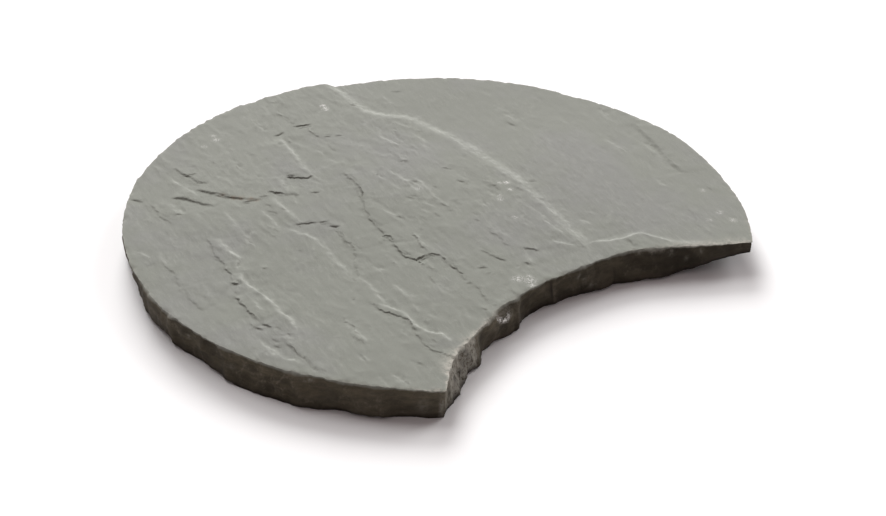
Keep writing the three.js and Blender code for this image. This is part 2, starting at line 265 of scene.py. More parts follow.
# Torn ledges of the riven face, where a bed has broken off short. Each line is walked with
# the higher stone on its left: its drop, how far the stone stays raised behind it and sunk
# before it, how dark the painted shade at its foot is, and its points.
TORN = [
    # the raised plateau: its ragged front, piece by piece
    (0.9, 16, 8, 0.5, [(-107, 177), (-107, 165), (-106, 160), (-105, 153), (-104, 146), (-101, 140)]),
    (0.7, 5, 5, 0.7, [(-110, 163), (-106, 160), (-101, 159), (-97, 158)]),
    (0.8, 34, 12, 0.6, [(-112, 138), (-109, 130), (-103, 121), (-101, 114), (-97, 110), (-92, 106)]),
    (0.9, 7, 5, 0.8, [(-99, 104), (-95, 101), (-91, 99), (-86, 97)]),
    (0.5, 5, 5, 0.4, [(-86, 101), (-82, 99), (-77, 96)]),
    (1.1, 9, 6, 0.8, [(-75, 104), (-72, 101), (-70, 97), (-66, 92)]),
    (1.1, 28, 10, 0.8, [(-51, 113), (-46, 108), (-42, 104), (-38, 101), (-32, 101)]),
    (0.9, 8, 6, 0.8, [(-18, 170), (-13, 169), (-6, 169)]),
    (1.1, 8, 7, 0.9, [(3, 173), (8, 171), (12, 169), (18, 166)]),
    (0.5, 7, 6, 0.4, [(9, 198), (10, 187), (8, 174)]),
    (0.6, 8, 6, 0.4, [(12, 166), (9, 158), (9, 148), (7, 143)]),
    (0.6, 5, 4, 0.6, [(12, 145), (16, 140)]),
    (0.5, 5, 4, 0.5, [(19, 140), (24, 136)]),
    (0.3, 6, 5, 0.2, [(7, 137), (5, 128), (2, 118)]),
    # between the plateau and the left rim
    (0.9, 10, 8, 0.6, [(-134, 140), (-130, 137), (-127, 133), (-124, 125), (-122, 119), (-118, 109)]),
    (1.0, 10, 7, 0.8, [(-158, 160), (-155, 154), (-152, 148)]),
    (0.6, 10, 8, 0.35, [(-151, 143), (-152, 138), (-153, 130), (-156, 118), (-155, 109)]),
    (0.6, 5, 4, 0.6, [(-147, 119), (-141, 115)]),
    # the rough patch under the plateau
    (0.6, 5, 4, 0.5, [(-88, 91), (-86, 86), (-87, 80)]),
    (0.5, 4, 4, 0.5, [(-91, 83), (-90, 77), (-88, 71)]),
    (0.4, 4, 4, 0.5, [(-83, 77), (-80, 71)]),
    (0.7, 6, 5, 0.7, [(-50, 83), (-45, 78)]),
    (0.4, 4, 3, 0.4, [(-127, 63), (-128, 55), (-129, 50)]),
    (0.4, 3, 3, 0.4, [(-110, 51), (-111, 46)]),
    (0.4, 3, 3, 0.4, [(-109, 25), (-109, 18)]),
    (0.4, 3, 3, 0.4, [(-144, 21), (-142, 16)]),
    # the long ledge down the middle
    (1.0, 12, 8, 0.75, [(-13, 90), (-15, 83), (-17, 72), (-19, 66)]),
    (1.2, 14, 9, 0.9, [(-18, 68), (-21, 60), (-26, 53), (-30, 48)]),
    (0.8, 14, 9, 0.5, [(-29, 50), (-32, 43), (-38, 33), (-43, 25), (-44, 18), (-46, 12)]),
    (1.0, 14, 9, 0.7, [(-45, 14), (-47, 5), (-50, 1), (-47, -2), (-48, -6), (-51, -13)]),
    (1.0, 16, 10, 0.6, [(-50, -11), (-54, -20), (-57, -28), (-56, -33), (-54, -37)]),
    (1.9, 18, 12, 1.0, [(-57, -34), (-54, -39), (-49, -39), (-43, -38)]),
    (1.2, 10, 9, 0.8, [(-44, -37), (-40, -40), (-37, -46), (-38, -52), (-41, -57)]),
    (1.0, 12, 10, 0.7, [(-40, -56), (-41, -62), (-42, -71), (-41, -77)]),
    (0.7, 6, 6, 0.5, [(-43, -72), (-45, -78), (-46, -83)]),
    (0.5, 6, 6, 0.5, [(-49, -84), (-46, -86), (-45, -89)]),
    (1.0, 10, 9, 0.6, [(-45, -90), (-46, -93), (-50, -102), (-52, -109), (-58, -116)]),
    (0.9, 8, 8, 0.6, [(-61, -113), (-63, -122), (-66, -130)]),
    (0.8, 6, 5, 0.6, [(-31, -9), (-34, -17), (-36, -22), (-39, -27), (-41, -33)]),
    (0.5, 6, 5, 0.5, [(-61, -60), (-63, -67), (-65, -73)]),
    # the ledge left of it, and the fainter one that goes on from it
    (0.8, 18, 12, 0.7, [(-90, 53), (-86, 51), (-82, 50), (-77, 48), (-74, 44)]),
    (0.9, 12, 8, 0.6, [(-75, 45), (-70, 43), (-66, 43)]),
    (1.0, 8, 7, 0.9, [(-71, 38), (-68, 34), (-64, 30)]),
    (0.7, 12, 10, 0.45, [(-70, 33), (-71, 28), (-73, 20), (-75, 12), (-76, 3), (-78, -4)]),
    (0.6, 10, 9, 0.35, [(-78, -2), (-83, -9), (-88, -12), (-92, -20), (-97, -27), (-103, -34)]),
    (0.5, 4, 4, 0.6, [(-102, -29), (-104, -34)]),
    # short ledges near the bite
    (0.5, 6, 5, 0.5, [(-29, -73), (-26, -76), (-22, -80)]),
    (0.5, 4, 4, 0.5, [(-30, -86), (-25, -85)]),
    (0.4, 4, 4, 0.5, [(-31, -103), (-27, -103)]),
    (0.7, 7, 6, 0.6, [(-30, -108), (-31, -112), (-33, -118)]),
    (0.8, 8, 6, 0.55, [(-11, -57), (-10, -63), (-10, -68), (-9, -74), (-6, -82)]),
    (1.1, 8, 6, 0.9, [(14, -74), (16, -77), (18, -80), (21, -87)]),
    (0.9, 6, 5, 0.7, [(2, -88), (3, -93), (3, -98)]),
    (0.5, 6, 5, 0.45, [(13, -42), (12, -49), (11, -54), (8, -62), (9, -70)]),
    # the narrow rib on the left horn: the crack on its left side
    (1.0, 7, 8, 0.7, [(-115, -68), (-115, -76), (-112, -83), (-110, -88), (-110, -92), (-113, -103),
        (-116, -110)]),
    (0.9, 7, 8, 0.6, [(-115, -108), (-118, -117), (-121, -126), (-120, -135), (-118, -141), (-117, -152)]),
    (0.5, 4, 4, 0.5, [(-113, -121), (-113, -125), (-114, -130)]),
    (0.6, 5, 4, 0.5, [(-139, -136), (-137, -139), (-138, -143)]),
    # the scratch on the left horn
    (0.7, 5, 6, 0.5, [(-142, -66), (-146, -83), (-150, -96), (-152, -101)]),
    # the raised tongue near the left rim: its steep left side
    (0.8, 10, 8, 0.45, [(-147, 77), (-151, 68), (-157, 57), (-160, 46), (-162, 37)]),
    (0.9, 12, 10, 0.5, [(-161, 39), (-164, 30), (-168, 22), (-171, 17)]),
    (1.7, 9, 8, 0.95, [(-172, 19), (-170, 15), (-168, 12)]),
    (0.7, 12, 10, 0.35, [(-171, 13), (-175, 8), (-179, 2)]),
    (1.1, 12, 10, 0.65, [(-180, 3), (-183, -7), (-184, -16), (-185, -24), (-186, -28), (-187, -35)]),
    (1.0, 8, 7, 0.7, [(-187, -35), (-186, -41), (-184, -46)]),
    (0.6, 5, 5, 0.6, [(-183, -44), (-182, -48), (-184, -53)]),
    (0.8, 5, 5, 0.7, [(-193, -36), (-192, -41), (-191, -45)]),
    (0.6, 5, 5, 0.5, [(-193, -54), (-193, -60), (-193, -63)]),
    (0.9, 6, 5, 0.8, [(-197, -62), (-196, -66), (-195, -69)]),
    (0.5, 4, 4, 0.5, [(-186, -54), (-186, -57), (-186, -61)]),
    (0.5, 3, 3, 0.6, [(-182, -57), (-182, -61)]),
    (0.9, 8, 8, 0.6, [(-190, -66), (-190, -72), (-191, -77), (-192, -84), (-192, -90), (-194, -97),
        (-194, -106)]),
    # the shallow step between the tongue and the left rim
    (0.6, 14, 12, 0.3, [(-191, 72), (-194, 58), (-196, 48), (-200, 40), (-202, 33)]),
    (0.7, 12, 12, 0.35, [(-202, 35), (-203, 25), (-206, 16), (-207, 8), (-206, 0)]),
    (0.4, 4, 4, 0.5, [(-203, 74), (-199, 71)]),
    # the rippled ground right of the middle
    (0.5, 5, 4, 0.5, [(-2, 34), (-1, 30), (1, 27), (0, 23)]),
    (0.3, 5, 4, 0.3, [(0, 23), (-2, 18), (-3, 14)]),
    (0.5, 4, 4, 0.4, [(30, 77), (33, 75), (36, 71)]),
    (0.6, 5, 4, 0.5, [(49, 51), (51, 45), (53, 41)]),
    (0.6, 5, 4, 0.5, [(44, 29), (45, 24), (46, 20)]),
    (0.4, 5, 4, 0.35, [(41, 16), (41, 11), (39, 5)]),
    (0.5, 4, 4, 0.45, [(17, 49), (18, 46), (20, 42)]),
    (0.4, 4, 4, 0.4, [(25, 33), (25, 28), (24, 24)]),
    (0.7, 5, 4, 0.55, [(11, 9), (12, 5), (13, 1)]),
    (0.6, 5, 4, 0.55, [(-2, 2), (-2, -3), (-2, -8)]),
    (0.5, 5, 4, 0.45, [(-13, 4), (-12, 0), (-13, -4)]),
    (0.6, 5, 4, 0.5, [(-26, 16), (-24, 14), (-23, 9)]),
    (0.4, 4, 3, 0.4, [(21, -14), (21, -18), (22, -22)]),
    (0.4, 4, 3, 0.35, [(16, -22), (16, -27), (15, -31)]),
    (0.5, 4, 4, 0.45, [(60, 7), (61, 3), (59, -2), (57, -6)]),
    (0.4, 4, 3, 0.35, [(62, 19), (61, 14), (59, 9)]),
    (0.4, 4, 3, 0.35, [(10, -1), (10, -5)]),
    (0.4, 4, 4, 0.35, [(39, -7), (36, -16)]),
    (0.5, 4, 4, 0.4, [(61, 121), (58, 112), (55, 103)]),
    (0.5, 5, 4, 0.6, [(73, 107), (77, 103)]),
    (0.4, 5, 4, 0.4, [(51, 90), (53, 85)]),
    (0.6, 5, 4, 0.7, [(62, 174), (66, 169)]),
    (0.5, 4, 4, 0.5, [(66, 174), (70, 171)]),
    (0.5, 6, 5, 0.4, [(84, -5), (92, -10)]),
    (0.5, 5, 4, 0.4, [(16, 218), (21, 212)]),
    (0.5, 5, 4, 0.4, [(104, 175), (108, 170), (112, 167)]),
    (0.8, 6, 6, 0.6, [(140, 76), (140, 69), (141, 64)]),
    (0.6, 6, 5, 0.6, [(81, -112), (79, -117), (77, -125)]),
    # by the right rim
    (0.4, 4, 4, 0.3, [(184, -95), (181, -108)]),
    (0.3, 4, 4, 0.3, [(146, -107), (137, -128), (129, -150)]),
]

# Worn ledges and ridges, rounded over and paler along their arris, part wear and part a painted
# highlight where the arris faces the light, walked the same way: drop, width of the slope, how
# far raised and sunk, how pale, and the points.
WORN = [
    # the long rounded step from the bite to the back rim, and its foot along the bite
    (1.6, 6.5, 38, 30, 0.6, [(52, -104), (58, -84), (65, -60), (73, -35), (78, -14), (82, -2), (84, 21),
        (87, 44), (90, 57), (89, 67), (90, 80), (88, 102), (87, 113), (84, 131), (77, 139), (72, 146),
        (66, 158), (68, 176), (73, 210), (75, 228)]),
    (0.5, 1.6, 5, 6, 0.6, [(81, 38), (83, 49), (85, 62), (87, 74), (90, 90)]),
    (0.5, 1.6, 5, 6, 0.5, [(64, -58), (69, -40), (74, -18), (72, -10)]),
    (0.9, 2.4, 14, 20, 0.5, [(122, -154), (104, -137), (97, -123), (95, -115), (88, -112), (80, -111),
        (67, -106), (57, -99)]),
    (0.8, 2.4, 10, 12, 0.5, [(48, -98), (45, -95), (41, -88), (36, -79)]),
    (0.4, 1.6, 5, 5, 0.4, [(75, 110), (73, 122), (69, 133)]),
    # the plateau's right side
    (1.0, 2.4, 10, 8, 0.7, [(-64, 94), (-58, 103), (-54, 109), (-49, 116)]),
    (1.4, 2.4, 26, 14, 0.8, [(-32, 103), (-31, 113), (-27, 124), (-24, 134), (-19, 149), (-14, 166)]),
    (0.4, 1.6, 8, 6, 0.5, [(-120, 127), (-117, 135), (-117, 143), (-118, 155), (-116, 167)]),
    (0.5, 1.8, 10, 8, 0.5, [(-147, 112), (-142, 124), (-135, 140)]),
    (0.7, 2.2, 8, 8, 0.7, [(-83, 56), (-81, 65), (-80, 74), (-79, 84), (-73, 99)]),
    (0.5, 1.8, 7, 6, 0.5, [(-106, 52), (-100, 61), (-97, 68), (-96, 77), (-94, 88)]),
    (0.3, 1.4, 5, 5, 0.35, [(-130, 47), (-126, 60), (-123, 70), (-120, 81), (-118, 93), (-112, 104)]),
    (0.5, 1.6, 6, 6, 0.5, [(-40, -34), (-37, -26), (-33, -18), (-28, -8)]),
    # the right side of the rib on the left horn, and the line that runs up from it
    (0.9, 2.2, 6, 10, 0.8, [(-105, -137), (-104, -129), (-104, -121), (-107, -116), (-109, -110),
        (-109, -100), (-106, -91), (-106, -84), (-108, -76), (-109, -70), (-113, -64)]),
    (0.7, 2.0, 8, 12, 0.5, [(-107, -70), (-105, -60), (-101, -50), (-99, -35), (-104, -29)]),
    (0.8, 2.4, 10, 10, 0.6, [(-104, -30), (-99, -15), (-98, -7), (-95, 4), (-92, 14), (-90, 25),
        (-91, 35), (-94, 43), (-96, 55)]),
    # the right side of the tongue
    (0.9, 2.2, 9, 12, 0.7, [(-158, 25), (-156, 31), (-147, 40), (-147, 50), (-145, 62), (-142, 77)]),
    (1.2, 2.2, 9, 16, 0.8, [(-180, -60), (-176, -57), (-171, -50), (-169, -41), (-169, -34), (-167, -26),
        (-165, -17), (-164, -7), (-164, 1), (-164, 10), (-161, 18), (-157, 26)]),
    (0.4, 1.6, 5, 5, 0.5, [(-178, -29), (-175, -14), (-173, -2)]),
    (0.5, 1.6, 4, 4, 0.6, [(-186, -65), (-183, -58)]),
    (0.6, 1.8, 6, 6, 0.6, [(-197, -95), (-197, -86), (-201, -80), (-202, -74), (-201, -66), (-202, -58),
        (-198, -50)]),
    (0.4, 1.6, 5, 5, 0.35, [(-191, -108), (-190, -94)]),
    (0.5, 1.6, 5, 6, 0.6, [(-151, -100), (-148, -93), (-144, -78), (-140, -65)]),
    (0.4, 1.6, 6, 5, 0.5, [(-198, 74), (-195, 82), (-196, 89), (-199, 98)]),
    (0.3, 1.8, 8, 6, 0.3, [(-193, 60), (-189, 73), (-184, 87)]),
    (0.5, 1.8, 6, 6, 0.5, [(-90, -80), (-88, -64), (-86, -50)]),
    (0.5, 1.6, 5, 5, 0.5, [(-83, -38), (-80, -25)]),
    (0.5, 1.8, 6, 6, 0.45, [(-98, -91), (-92, -81)]),
    (0.4, 1.6, 5, 5, 0.4, [(-28, 10), (-27, 20), (-25, 31)]),
    (0.4, 1.6, 5, 5, 0.35, [(-162, -120), (-160, -104)]),
    (0.4, 1.4, 5, 5, 0.5, [(-159, -151), (-160, -146), (-160, -137)]),
    # right of the middle
    (0.4, 1.6, 6, 5, 0.4, [(12, 27), (12, 38), (14, 50), (14, 57), (17, 71)]),
    (0.5, 1.6, 6, 5, 0.55, [(14, 15), (17, 24), (19, 32), (21, 39), (24, 53)]),
    (0.5, 1.4, 5, 4, 0.5, [(14, 0), (14, 5), (17, 11)]),
    (0.5, 1.6, 5, 5, 0.5, [(2, 2), (3, 7), (4, 13), (5, 20)]),
    (0.4, 1.4, 4, 4, 0.4, [(34, -17), (36, -10), (37, -4)]),
    (0.4, 1.4, 4, 4, 0.5, [(49, -9), (50, -2), (51, 3)]),
    (0.4, 1.4, 4, 4, 0.4, [(37, 75), (35, 79), (40, 87)]),
    (0.5, 1.6, 8, 7, 0.5, [(61, 75), (62, 82), (65, 90), (68, 97), (73, 104)]),
    (0.5, 1.6, 8, 7, 0.45, [(50, 92), (47, 106), (47, 117), (55, 130)]),
    (0.5, 1.6, 8, 8, 0.4, [(49, -87), (51, -75), (53, -60), (57, -50), (59, -28)]),
    (0.7, 2.0, 6, 6, 0.6, [(146, 68), (148, 78), (148, 86)]),
    (0.4, 1.6, 6, 6, 0.4, [(5, -96), (12, -81)]),
    (0.3, 1.6, 6, 6, 0.3, [(89, 151), (92, 162), (96, 175)]),
    (0.4, 1.6, 5, 5, 0.3, [(-14, 188), (-13, 199)]),
    (0.3, 1.6, 5, 5, 0.3, [(-72, 138), (-70, 152)]),
    # by the right rim
    (0.5, 2.0, 10, 8, 0.35, [(190, -46), (196, -26), (199, -13)]),
    (0.4, 1.8, 8, 6, 0.4, [(176, -18), (178, -8), (180, 9)]),
    (0.4, 1.6, 6, 5, 0.45, [(204, 26), (213, 43)]),
    (0.4, 1.6, 6, 5, 0.35, [(159, -79), (164, -62)]),
    (0.3, 1.6, 6, 5, 0.35, [(77, -83), (75, -70)]),
]
# A few torn ledges are so weathered that they are soft troughs with painted shade in them:
# drop, width of the slope, how far raised and sunk, how dark the painted shade, and the points.
WORN_TROUGHS = [
    (0.55, 2.4, 10, 8, 0.22, [(-113, 141), (-109, 130), (-103, 121), (-100, 113), (-95, 107), (-90, 101),
        (-84, 96)]),
    (0.5, 2.4, 8, 8, 0.2, [(-135, 142), (-128, 134), (-123, 122), (-118, 108)]),
    (0.5, 2.6, 8, 7, 0.2, [(-72, 101), (-69, 95), (-63, 89), (-58, 84)]),
    (0.9, 3.2, 12, 8, 0.4, [(216, 9), (209, -8), (203, -25), (197, -39), (193, -48), (189, -60), (186, -72)]),
]
TORN_RUN = 1.0  # width of a torn ledge's steep slope
TORN_DROP = 0.58  # all torn drops are taken down by this much
WORN_RUN = 1.5  # all worn slopes are widened by this much
WORN_PALER = 1.15  # all worn arrises are made paler by this much, wear and painted highlight alike

# Every ledge in one form.
Ledge = namedtuple("Ledge", "drop run high low dark pale points")
ledges = []
for drop, high, low, dark, points in TORN:
    ledges.append(Ledge(TORN_DROP * drop, TORN_RUN, high, low, dark, 0, points))
for drop, run, high, low, pale, points in WORN:
    ledges.append(Ledge(drop, WORN_RUN * run, high, low, 0, WORN_PALER * pale, points))
for drop, run, high, low, dark, points in WORN_TROUGHS:
    ledges.append(Ledge(drop, run, high, low, dark, 0, points))

# The lesser breaks beside the steeper ledges, where a bed came away in layers.
LAYERED_RUN = 3.0  # wider slopes than this have none
LAYER_PITCH = 22.0  # one layer to so much of a ledge
LAYER_HALF = (3.0, 8.0)  # half its length
LAYER_SPAN = (0.15, 0.85)  # the part of the ledge that its middle may lie at
LAYER_ASIDE = (1.4, 3.2)  # how far it lies beside the ledge
LAYER_PART = (0.3, 0.6)  # its share of the ledge's drop and dark
LAYER_PALE = 0.8  # its share of the ledge's paleness
LAYER_HIGH, LAYER_LOW = 3.5, 3.0
LAYER_POINTS = 4


def layers(ledge, random):
    points = np.array(ledge.points, float)
    steps = np.diff(points, axis=0)
    walked = walked_by(steps)
    across = leftward(steps).sum(0) / walked[-1]
    made = []
    for _ in range(int(walked[-1] / LAYER_PITCH + random.uniform())):
        half = random.uniform(*LAYER_HALF)
        middle = random.uniform(*LAYER_SPAN) * walked[-1]
        places = np.clip(np.linspace(middle - half, middle + half, LAYER_POINTS), 0, walked[-1])
        aside = random.choice((-1, 1)) * random.uniform(*LAYER_ASIDE)
        aside = aside + np.linspace(0, random.uniform(-1, 1), LAYER_POINTS)
        course = np.stack([np.interp(places, walked, points[:, k]) + aside * across[k] for k in (0, 1)], 1)
        part = random.uniform(*LAYER_PART)
        made.append(Ledge(part * ledge.drop, ledge.run, LAYER_HIGH, LAYER_LOW, part * ledge.dark,
                          LAYER_PALE * ledge.pale, course))
    return made


random = np.random.default_rng(31)
for ledge in list(ledges):
    if ledge.run < LAYERED_RUN:
        ledges += layers(ledge, random)

LEDGE_STEP = 1.2  # pitch of the points that draw an edge
TEAR = 0.17  # how far a torn edge leaves the straight, of each stretch's length
WANDER = [(0.6, 4.5), (0.35, 1.7)]  # a worn edge's wander: reach and pitch


def torn_line(points, seed):
    """A broken edge: each stretch's middle is knocked aside, again and again."""
    random = np.random.default_rng(seed)
    line = np.array(points, float)
    while True:
        steps = np.diff(line, axis=0)
        long = lengths(steps) >= LEDGE_STEP * 1.5
        if not long.any():
            return line
        aside = random.uniform(-TEAR, TEAR, len(steps))[:, None]
        middles = line[:-1] + steps / 2 + leftward(steps) * aside
        line = np.insert(line, np.nonzero(long)[0] + 1, middles[long], axis=0)


def worn_line(points, seed):
    """A worn edge: a smooth curve through its points, with a slight wander."""
    ends = [points[0]] + list(points) + [points[-1]]
    line = []
    for before, start, stop, after in zip(ends, ends[1:], ends[2:], ends[3:]):
        before, start, stop, after = map(np.array, (before, start, stop, after))
        steps = max(int(np.hypot(*(stop - start)) / LEDGE_STEP), 1)
        for t in np.arange(steps) / steps:
            line.append(0.5 * (2 * start + (stop - before) * t
                               + (2 * before - 5 * start + 4 * stop - after) * t**2
                               + (3 * start - before - 3 * stop + after) * t**3))
    line.append(np.array(points[-1], float))
    line = np.array(line)
    wander = np.zeros((len(line), 2))
    for reach, pitch in WANDER:
        wander += reach * np.stack([noise(*line.T, pitch, seed + k) for k in (0, 1)], 1)
    return line + wander


def by_ledge(line, x, y):
    """Distance to a line, the side of it, and the distance walked along it, at many points."""
    steps = np.diff(line, axis=0)
    walked = walked_by(steps)
    nearest, side, along = np.full(len(x), FAR), np.ones(len(x)), np.zeros(len(x))
    for start, way, length, so_far in zip(line, unit(steps), lengths(steps), walked):
        dx, dy = x - start[0], y - start[1]
        t = np.clip(dx * way[0] + dy * way[1], 0, length)
        distance = np.hypot(dx - t * way[0], dy - t * way[1])
        closer = distance < nearest
        nearest = np.where(closer, distance, nearest)
        side = np.where(closer, np.where(way[0] * dy - way[1] * dx < 0, -1.0, 1.0), side)
        along = np.where(closer, so_far + t, along)
    return nearest, side, along, walked[-1]


def beside(line, reach, x, y):
    """Which points lie within reach of a line's box."""
    return np.nonzero((x > line[:, 0].min() - reach) & (x < line[:, 0].max() + reach)
                      & (y > line[:, 1].min() - reach) & (y < line[:, 1].max() + reach))[0]


LEDGE_REACH = 3.5  # a ledge does nothing past so many times its raised or sunk reach
TORN_TAPER = 5.0  # a torn ledge ends short, a worn one fades out
WORN_TAPER = 12.0
SHORT_TAPER = 0.4  # the most of a short ledge's length that each end takes
UNEVEN = [(1, 11), (0.5, 4)]  # how a ledge's force varies along it: strength and pitch
UNEVEN_TORN, UNEVEN_WORN, UNEVEN_REACH = 0.3, 0.5, 4.0
FORCE_RANGE = (0.4, 1.35)
FOOT_DARK = [(0.75, 0.5), (0.3, 1.3)]  # the painted shade at a torn foot, a line and its halo: strength and width
FOOT_SINK = 0.08  # how far the darkest foot is cut in
BROKEN = [(1, 3.1), (0.8, 1.5)]  # how a worn arris is broken up: strength and pitch
PALE_BREAKS, PALE_RANGE, PALE_REACH = 0.6, (0.2, 1.5), 0.6
RAGGED, RAGGED_REACH = 0.07, 0.8  # how rough a worn edge is


def ledge_effect(ledge, line, x, y, seed):
    """What a ledge does at many points: height added, painted shade at its foot, and the pale of its arris,
    part wear and part painted highlight.
    """
    drop, run, high, low, dark, pale, _ = ledge
    height, shade, wear_and_highlight = np.zeros((3, len(x)))
    near = beside(line, LEDGE_REACH * max(high, low), x, y)
    nearest, side, along, length = by_ledge(line, x[near], y[near])
    ends = TORN_TAPER if dark else WORN_TAPER
    taper = smooth(np.minimum(along, length - along) / min(ends, SHORT_TAPER * length))
    uneven = (UNEVEN_TORN if dark else UNEVEN_WORN) * mixed(along, 0, UNEVEN, seed)
    force = np.clip(1 + uneven * np.exp(-nearest / UNEVEN_REACH), *FORCE_RANGE)
    step = 0.5 * side * (2 * smooth(0.5 + 0.5 * np.minimum(nearest / (run / 2), 1)) - 1)
    fade = np.exp(-np.maximum(nearest - run / 2, 0) / np.where(side > 0, high, low))
    foot = np.abs(side * nearest + run / 2)
    darkness = sum(strength * np.exp(-(foot / width) ** 2) for strength, width in FOOT_DARK)
    # The foot of a torn ledge is painted dark: painted shade where the step shades it.
    shade[near] = dark * taper * force**2 * darkness
    ragged = mixed(x[near], y[near], BROKEN, seed + 2)
    paleness = np.clip(1 + PALE_BREAKS * ragged, *PALE_RANGE)
    # The arris is painted pale: part wear, part a painted highlight where it faces the light.
    wear_and_highlight[near] = pale * taper * force * paleness * np.exp(-(nearest / (run / 2 + PALE_REACH)) ** 2)
    height[near] = drop * taper * force * step * fade - FOOT_SINK * shade[near]
    if pale:
        on_edge = np.exp(-(nearest / (run / 2 + RAGGED_REACH)) ** 2)
        height[near] += RAGGED * math.sqrt(drop) * taper * ragged * on_edge
    return height, shade, wear_and_highlight


TORN_WIDEST = 2.0  # a wider slope than this is too weathered to be drawn torn
lines = []
for k, ledge in enumerate(ledges):
    draw = torn_line if ledge.dark and ledge.run < TORN_WIDEST else worn_line
    lines.append(draw(ledge.points, 40 + 7 * k))

CLEAR_REACH = 9.0


def to_ledges(x, y):
    """How clear a point is of every ledge's slope."""
    clear = np.full(len(x), FAR)
    for ledge, line in zip(ledges, lines):
        near = beside(line, CLEAR_REACH, x, y)
        nearest = by_ledge(line, x[near], y[near])[0]
        clear[near] = np.minimum(clear[near], nearest - ledge.run / 2)
    return clear


def from_rim(x, y):
    """How far inside the two arcs a point lies."""
    to_disc = DISC_RADIUS - np.hypot(x, y)
    to_bite = np.hypot(x, y + BITE_DISTANCE) - BITE_RADIUS
    return to_disc, to_bite


# The bedding's streaks run this way across the plan, and the net's rows run with them,
# closer together across the streaks than along them.
GRAIN = math.radians(72)
SLIP = 0.14  # how far the net's points are out of line, of a step


def to_grain(x, y):
    return x * math.cos(GRAIN) + y * math.sin(GRAIN), -x * math.sin(GRAIN) + y * math.cos(GRAIN)


def lattice(step_along, step_across, seed):
    rows = np.arange(-DISC_RADIUS, DISC_RADIUS, step_across)
    columns = np.arange(-DISC_RADIUS, DISC_RADIUS, step_along)
    u, v = np.meshgrid(columns, rows)
    u = u + (np.arange(len(rows)) % 2)[:, None] * step_along / 2
    slip = np.random.default_rng(seed).uniform(-SLIP, SLIP, (2, *u.shape))
    u, v = (u + slip[0] * step_along).ravel(), (v + slip[1] * step_across).ravel()
    return u * math.cos(GRAIN) - v * math.sin(GRAIN), u * math.sin(GRAIN) + v * math.cos(GRAIN)


# The net of the riven face: fine beside the ledges, with rows of points down each slope and
# along the rim so that they stay crisp, and wider elsewhere.
SLOPE_PITCH = 0.8
FINE_FROM, FINE_REACH = 0.7, 2.4
SMOOTH_SIDE = 98.0  # right of this the face is smoother, and its net wider
# Steps along and across the grain, seed, how clear of the ledges, and between which x.
NETS = [
    ((1.3, 1.1), 3, (FINE_FROM, FINE_REACH), (-FAR, FAR)),
    ((2.2, 1.1), 4, (FINE_REACH, FAR), (-FAR, SMOOTH_SIDE)),
    ((3.0, 1.5), 6, (FINE_REACH, FAR), (SMOOTH_SIDE, FAR)),
]

guides = []
for ledge, line in zip(ledges, lines):
    left = leftward(unit(np.gradient(line, axis=0)))
    for offset in np.linspace(-ledge.run / 2, ledge.run / 2, math.ceil(ledge.run / SLOPE_PITCH) + 1):
        guides.append(line + offset * left)
for steps, seed, (low, high), (west, east) in NETS:
    x, y = lattice(*steps, seed)
    clear = to_ledges(x, y)
    chosen = (clear > low) & (clear <= high) & (x > west) & (x <= east)
    guides.append(np.stack([x[chosen], y[chosen]], 1))
guides = np.concatenate(guides)

RIM_ROWS = (0.8, 1.8, 3.0)  # rows of points just inside the rim
ROW_CLEAR = 0.9  # a row keeps so much of its distance where two of them meet
NET_CLEAR = 0.6  # the rest of the net keeps so far from the last row
NET_CELL = 0.3  # of points closer than this only one is kept
BED_ROWS = (2.0,)
BED_STEP = 7.0
MERGE = 0.05
INSIDE_ONLY, NEARLY = 1, 1e-4  # what the triangulation keeps, and how near it merges


def inner_rows(ring, insets):
    """Rows of points just inside the rim, at the given insets."""
    to_disc, to_bite = from_rim(*ring.T)
    inward_bite = unit(ring + np.array([0, BITE_DISTANCE]))
    inward = np.where((to_bite < to_disc)[:, None], inward_bite, -unit(ring))
    rows = []
    for inset in insets:
        row = ring + inset * inward
        rows.append(row[np.minimum(*from_rim(*row.T)) > ROW_CLEAR * inset])
    return np.concatenate(rows)


def in_plan(corners):
    middle = sum(corners, Vector((0, 0))) / len(corners)
    return (middle - Vector((0, -BITE_DISTANCE))).length > BITE_RADIUS - 0.001


def net(ring, inner, insets, name, height, upwards):
    """A flat net of triangles inside a ring, as an object of its own."""
    inner = inner[np.minimum(*from_rim(*inner.T)) > insets[-1] + NET_CLEAR]
    inner = np.concatenate([inner_rows(ring, insets), inner])
    _, single = np.unique(np.round(inner / NET_CELL).astype(int), axis=0, return_index=True)
    inner = inner[np.sort(single)]
    plan = [Vector(p) for p in np.concatenate([ring, inner])]
    edges = [(i, (i + 1) % len(ring)) for i in range(len(ring))]
    verts, _, faces, _, _, _ = delaunay_2d_cdt(plan, edges, [], INSIDE_ONLY, NEARLY, False)
    faces = [face for face in faces if in_plan([verts[i] for i in face])]
    if not upwards:
        faces = [face[::-1] for face in faces]
    mesh = bpy.data.meshes.new(name)
    mesh.from_pydata([(v.x * MM, v.y * MM, height * MM) for v in verts], [], faces)
    made = bpy.data.objects.new(name, mesh)
    bpy.context.scene.collection.objects.link(made)
    return made


face_net = net(open_ring(THICKNESS), guides, RIM_ROWS, "riven_face", THICKNESS, True)
bed_net = net(open_ring(0), np.stack(lattice(BED_STEP, BED_STEP, 5), 1), BED_ROWS, "bed", 0, False)

select(face_net, bed_net, stone)
bpy.ops.object.join()
bpy.ops.object.mode_set(mode="EDIT")
bpy.ops.mesh.select_all(action="SELECT")
bpy.ops.mesh.remove_doubles(threshold=MERGE * MM)
bpy.ops.mesh.quads_convert_to_tris()
bpy.ops.mesh.normals_make_consistent(inside=False)
bpy.ops.object.mode_set(mode="OBJECT")

# Where each point of the blank is: along the rim, and the way out of the stone there. At a
# horn's tip the two ways out run into each other.
WALL_SKIN = 0.3  # a point this close to the rim is on the wall
HAIR = 0.001  # of the thickness
TIP_EASE = 9.0

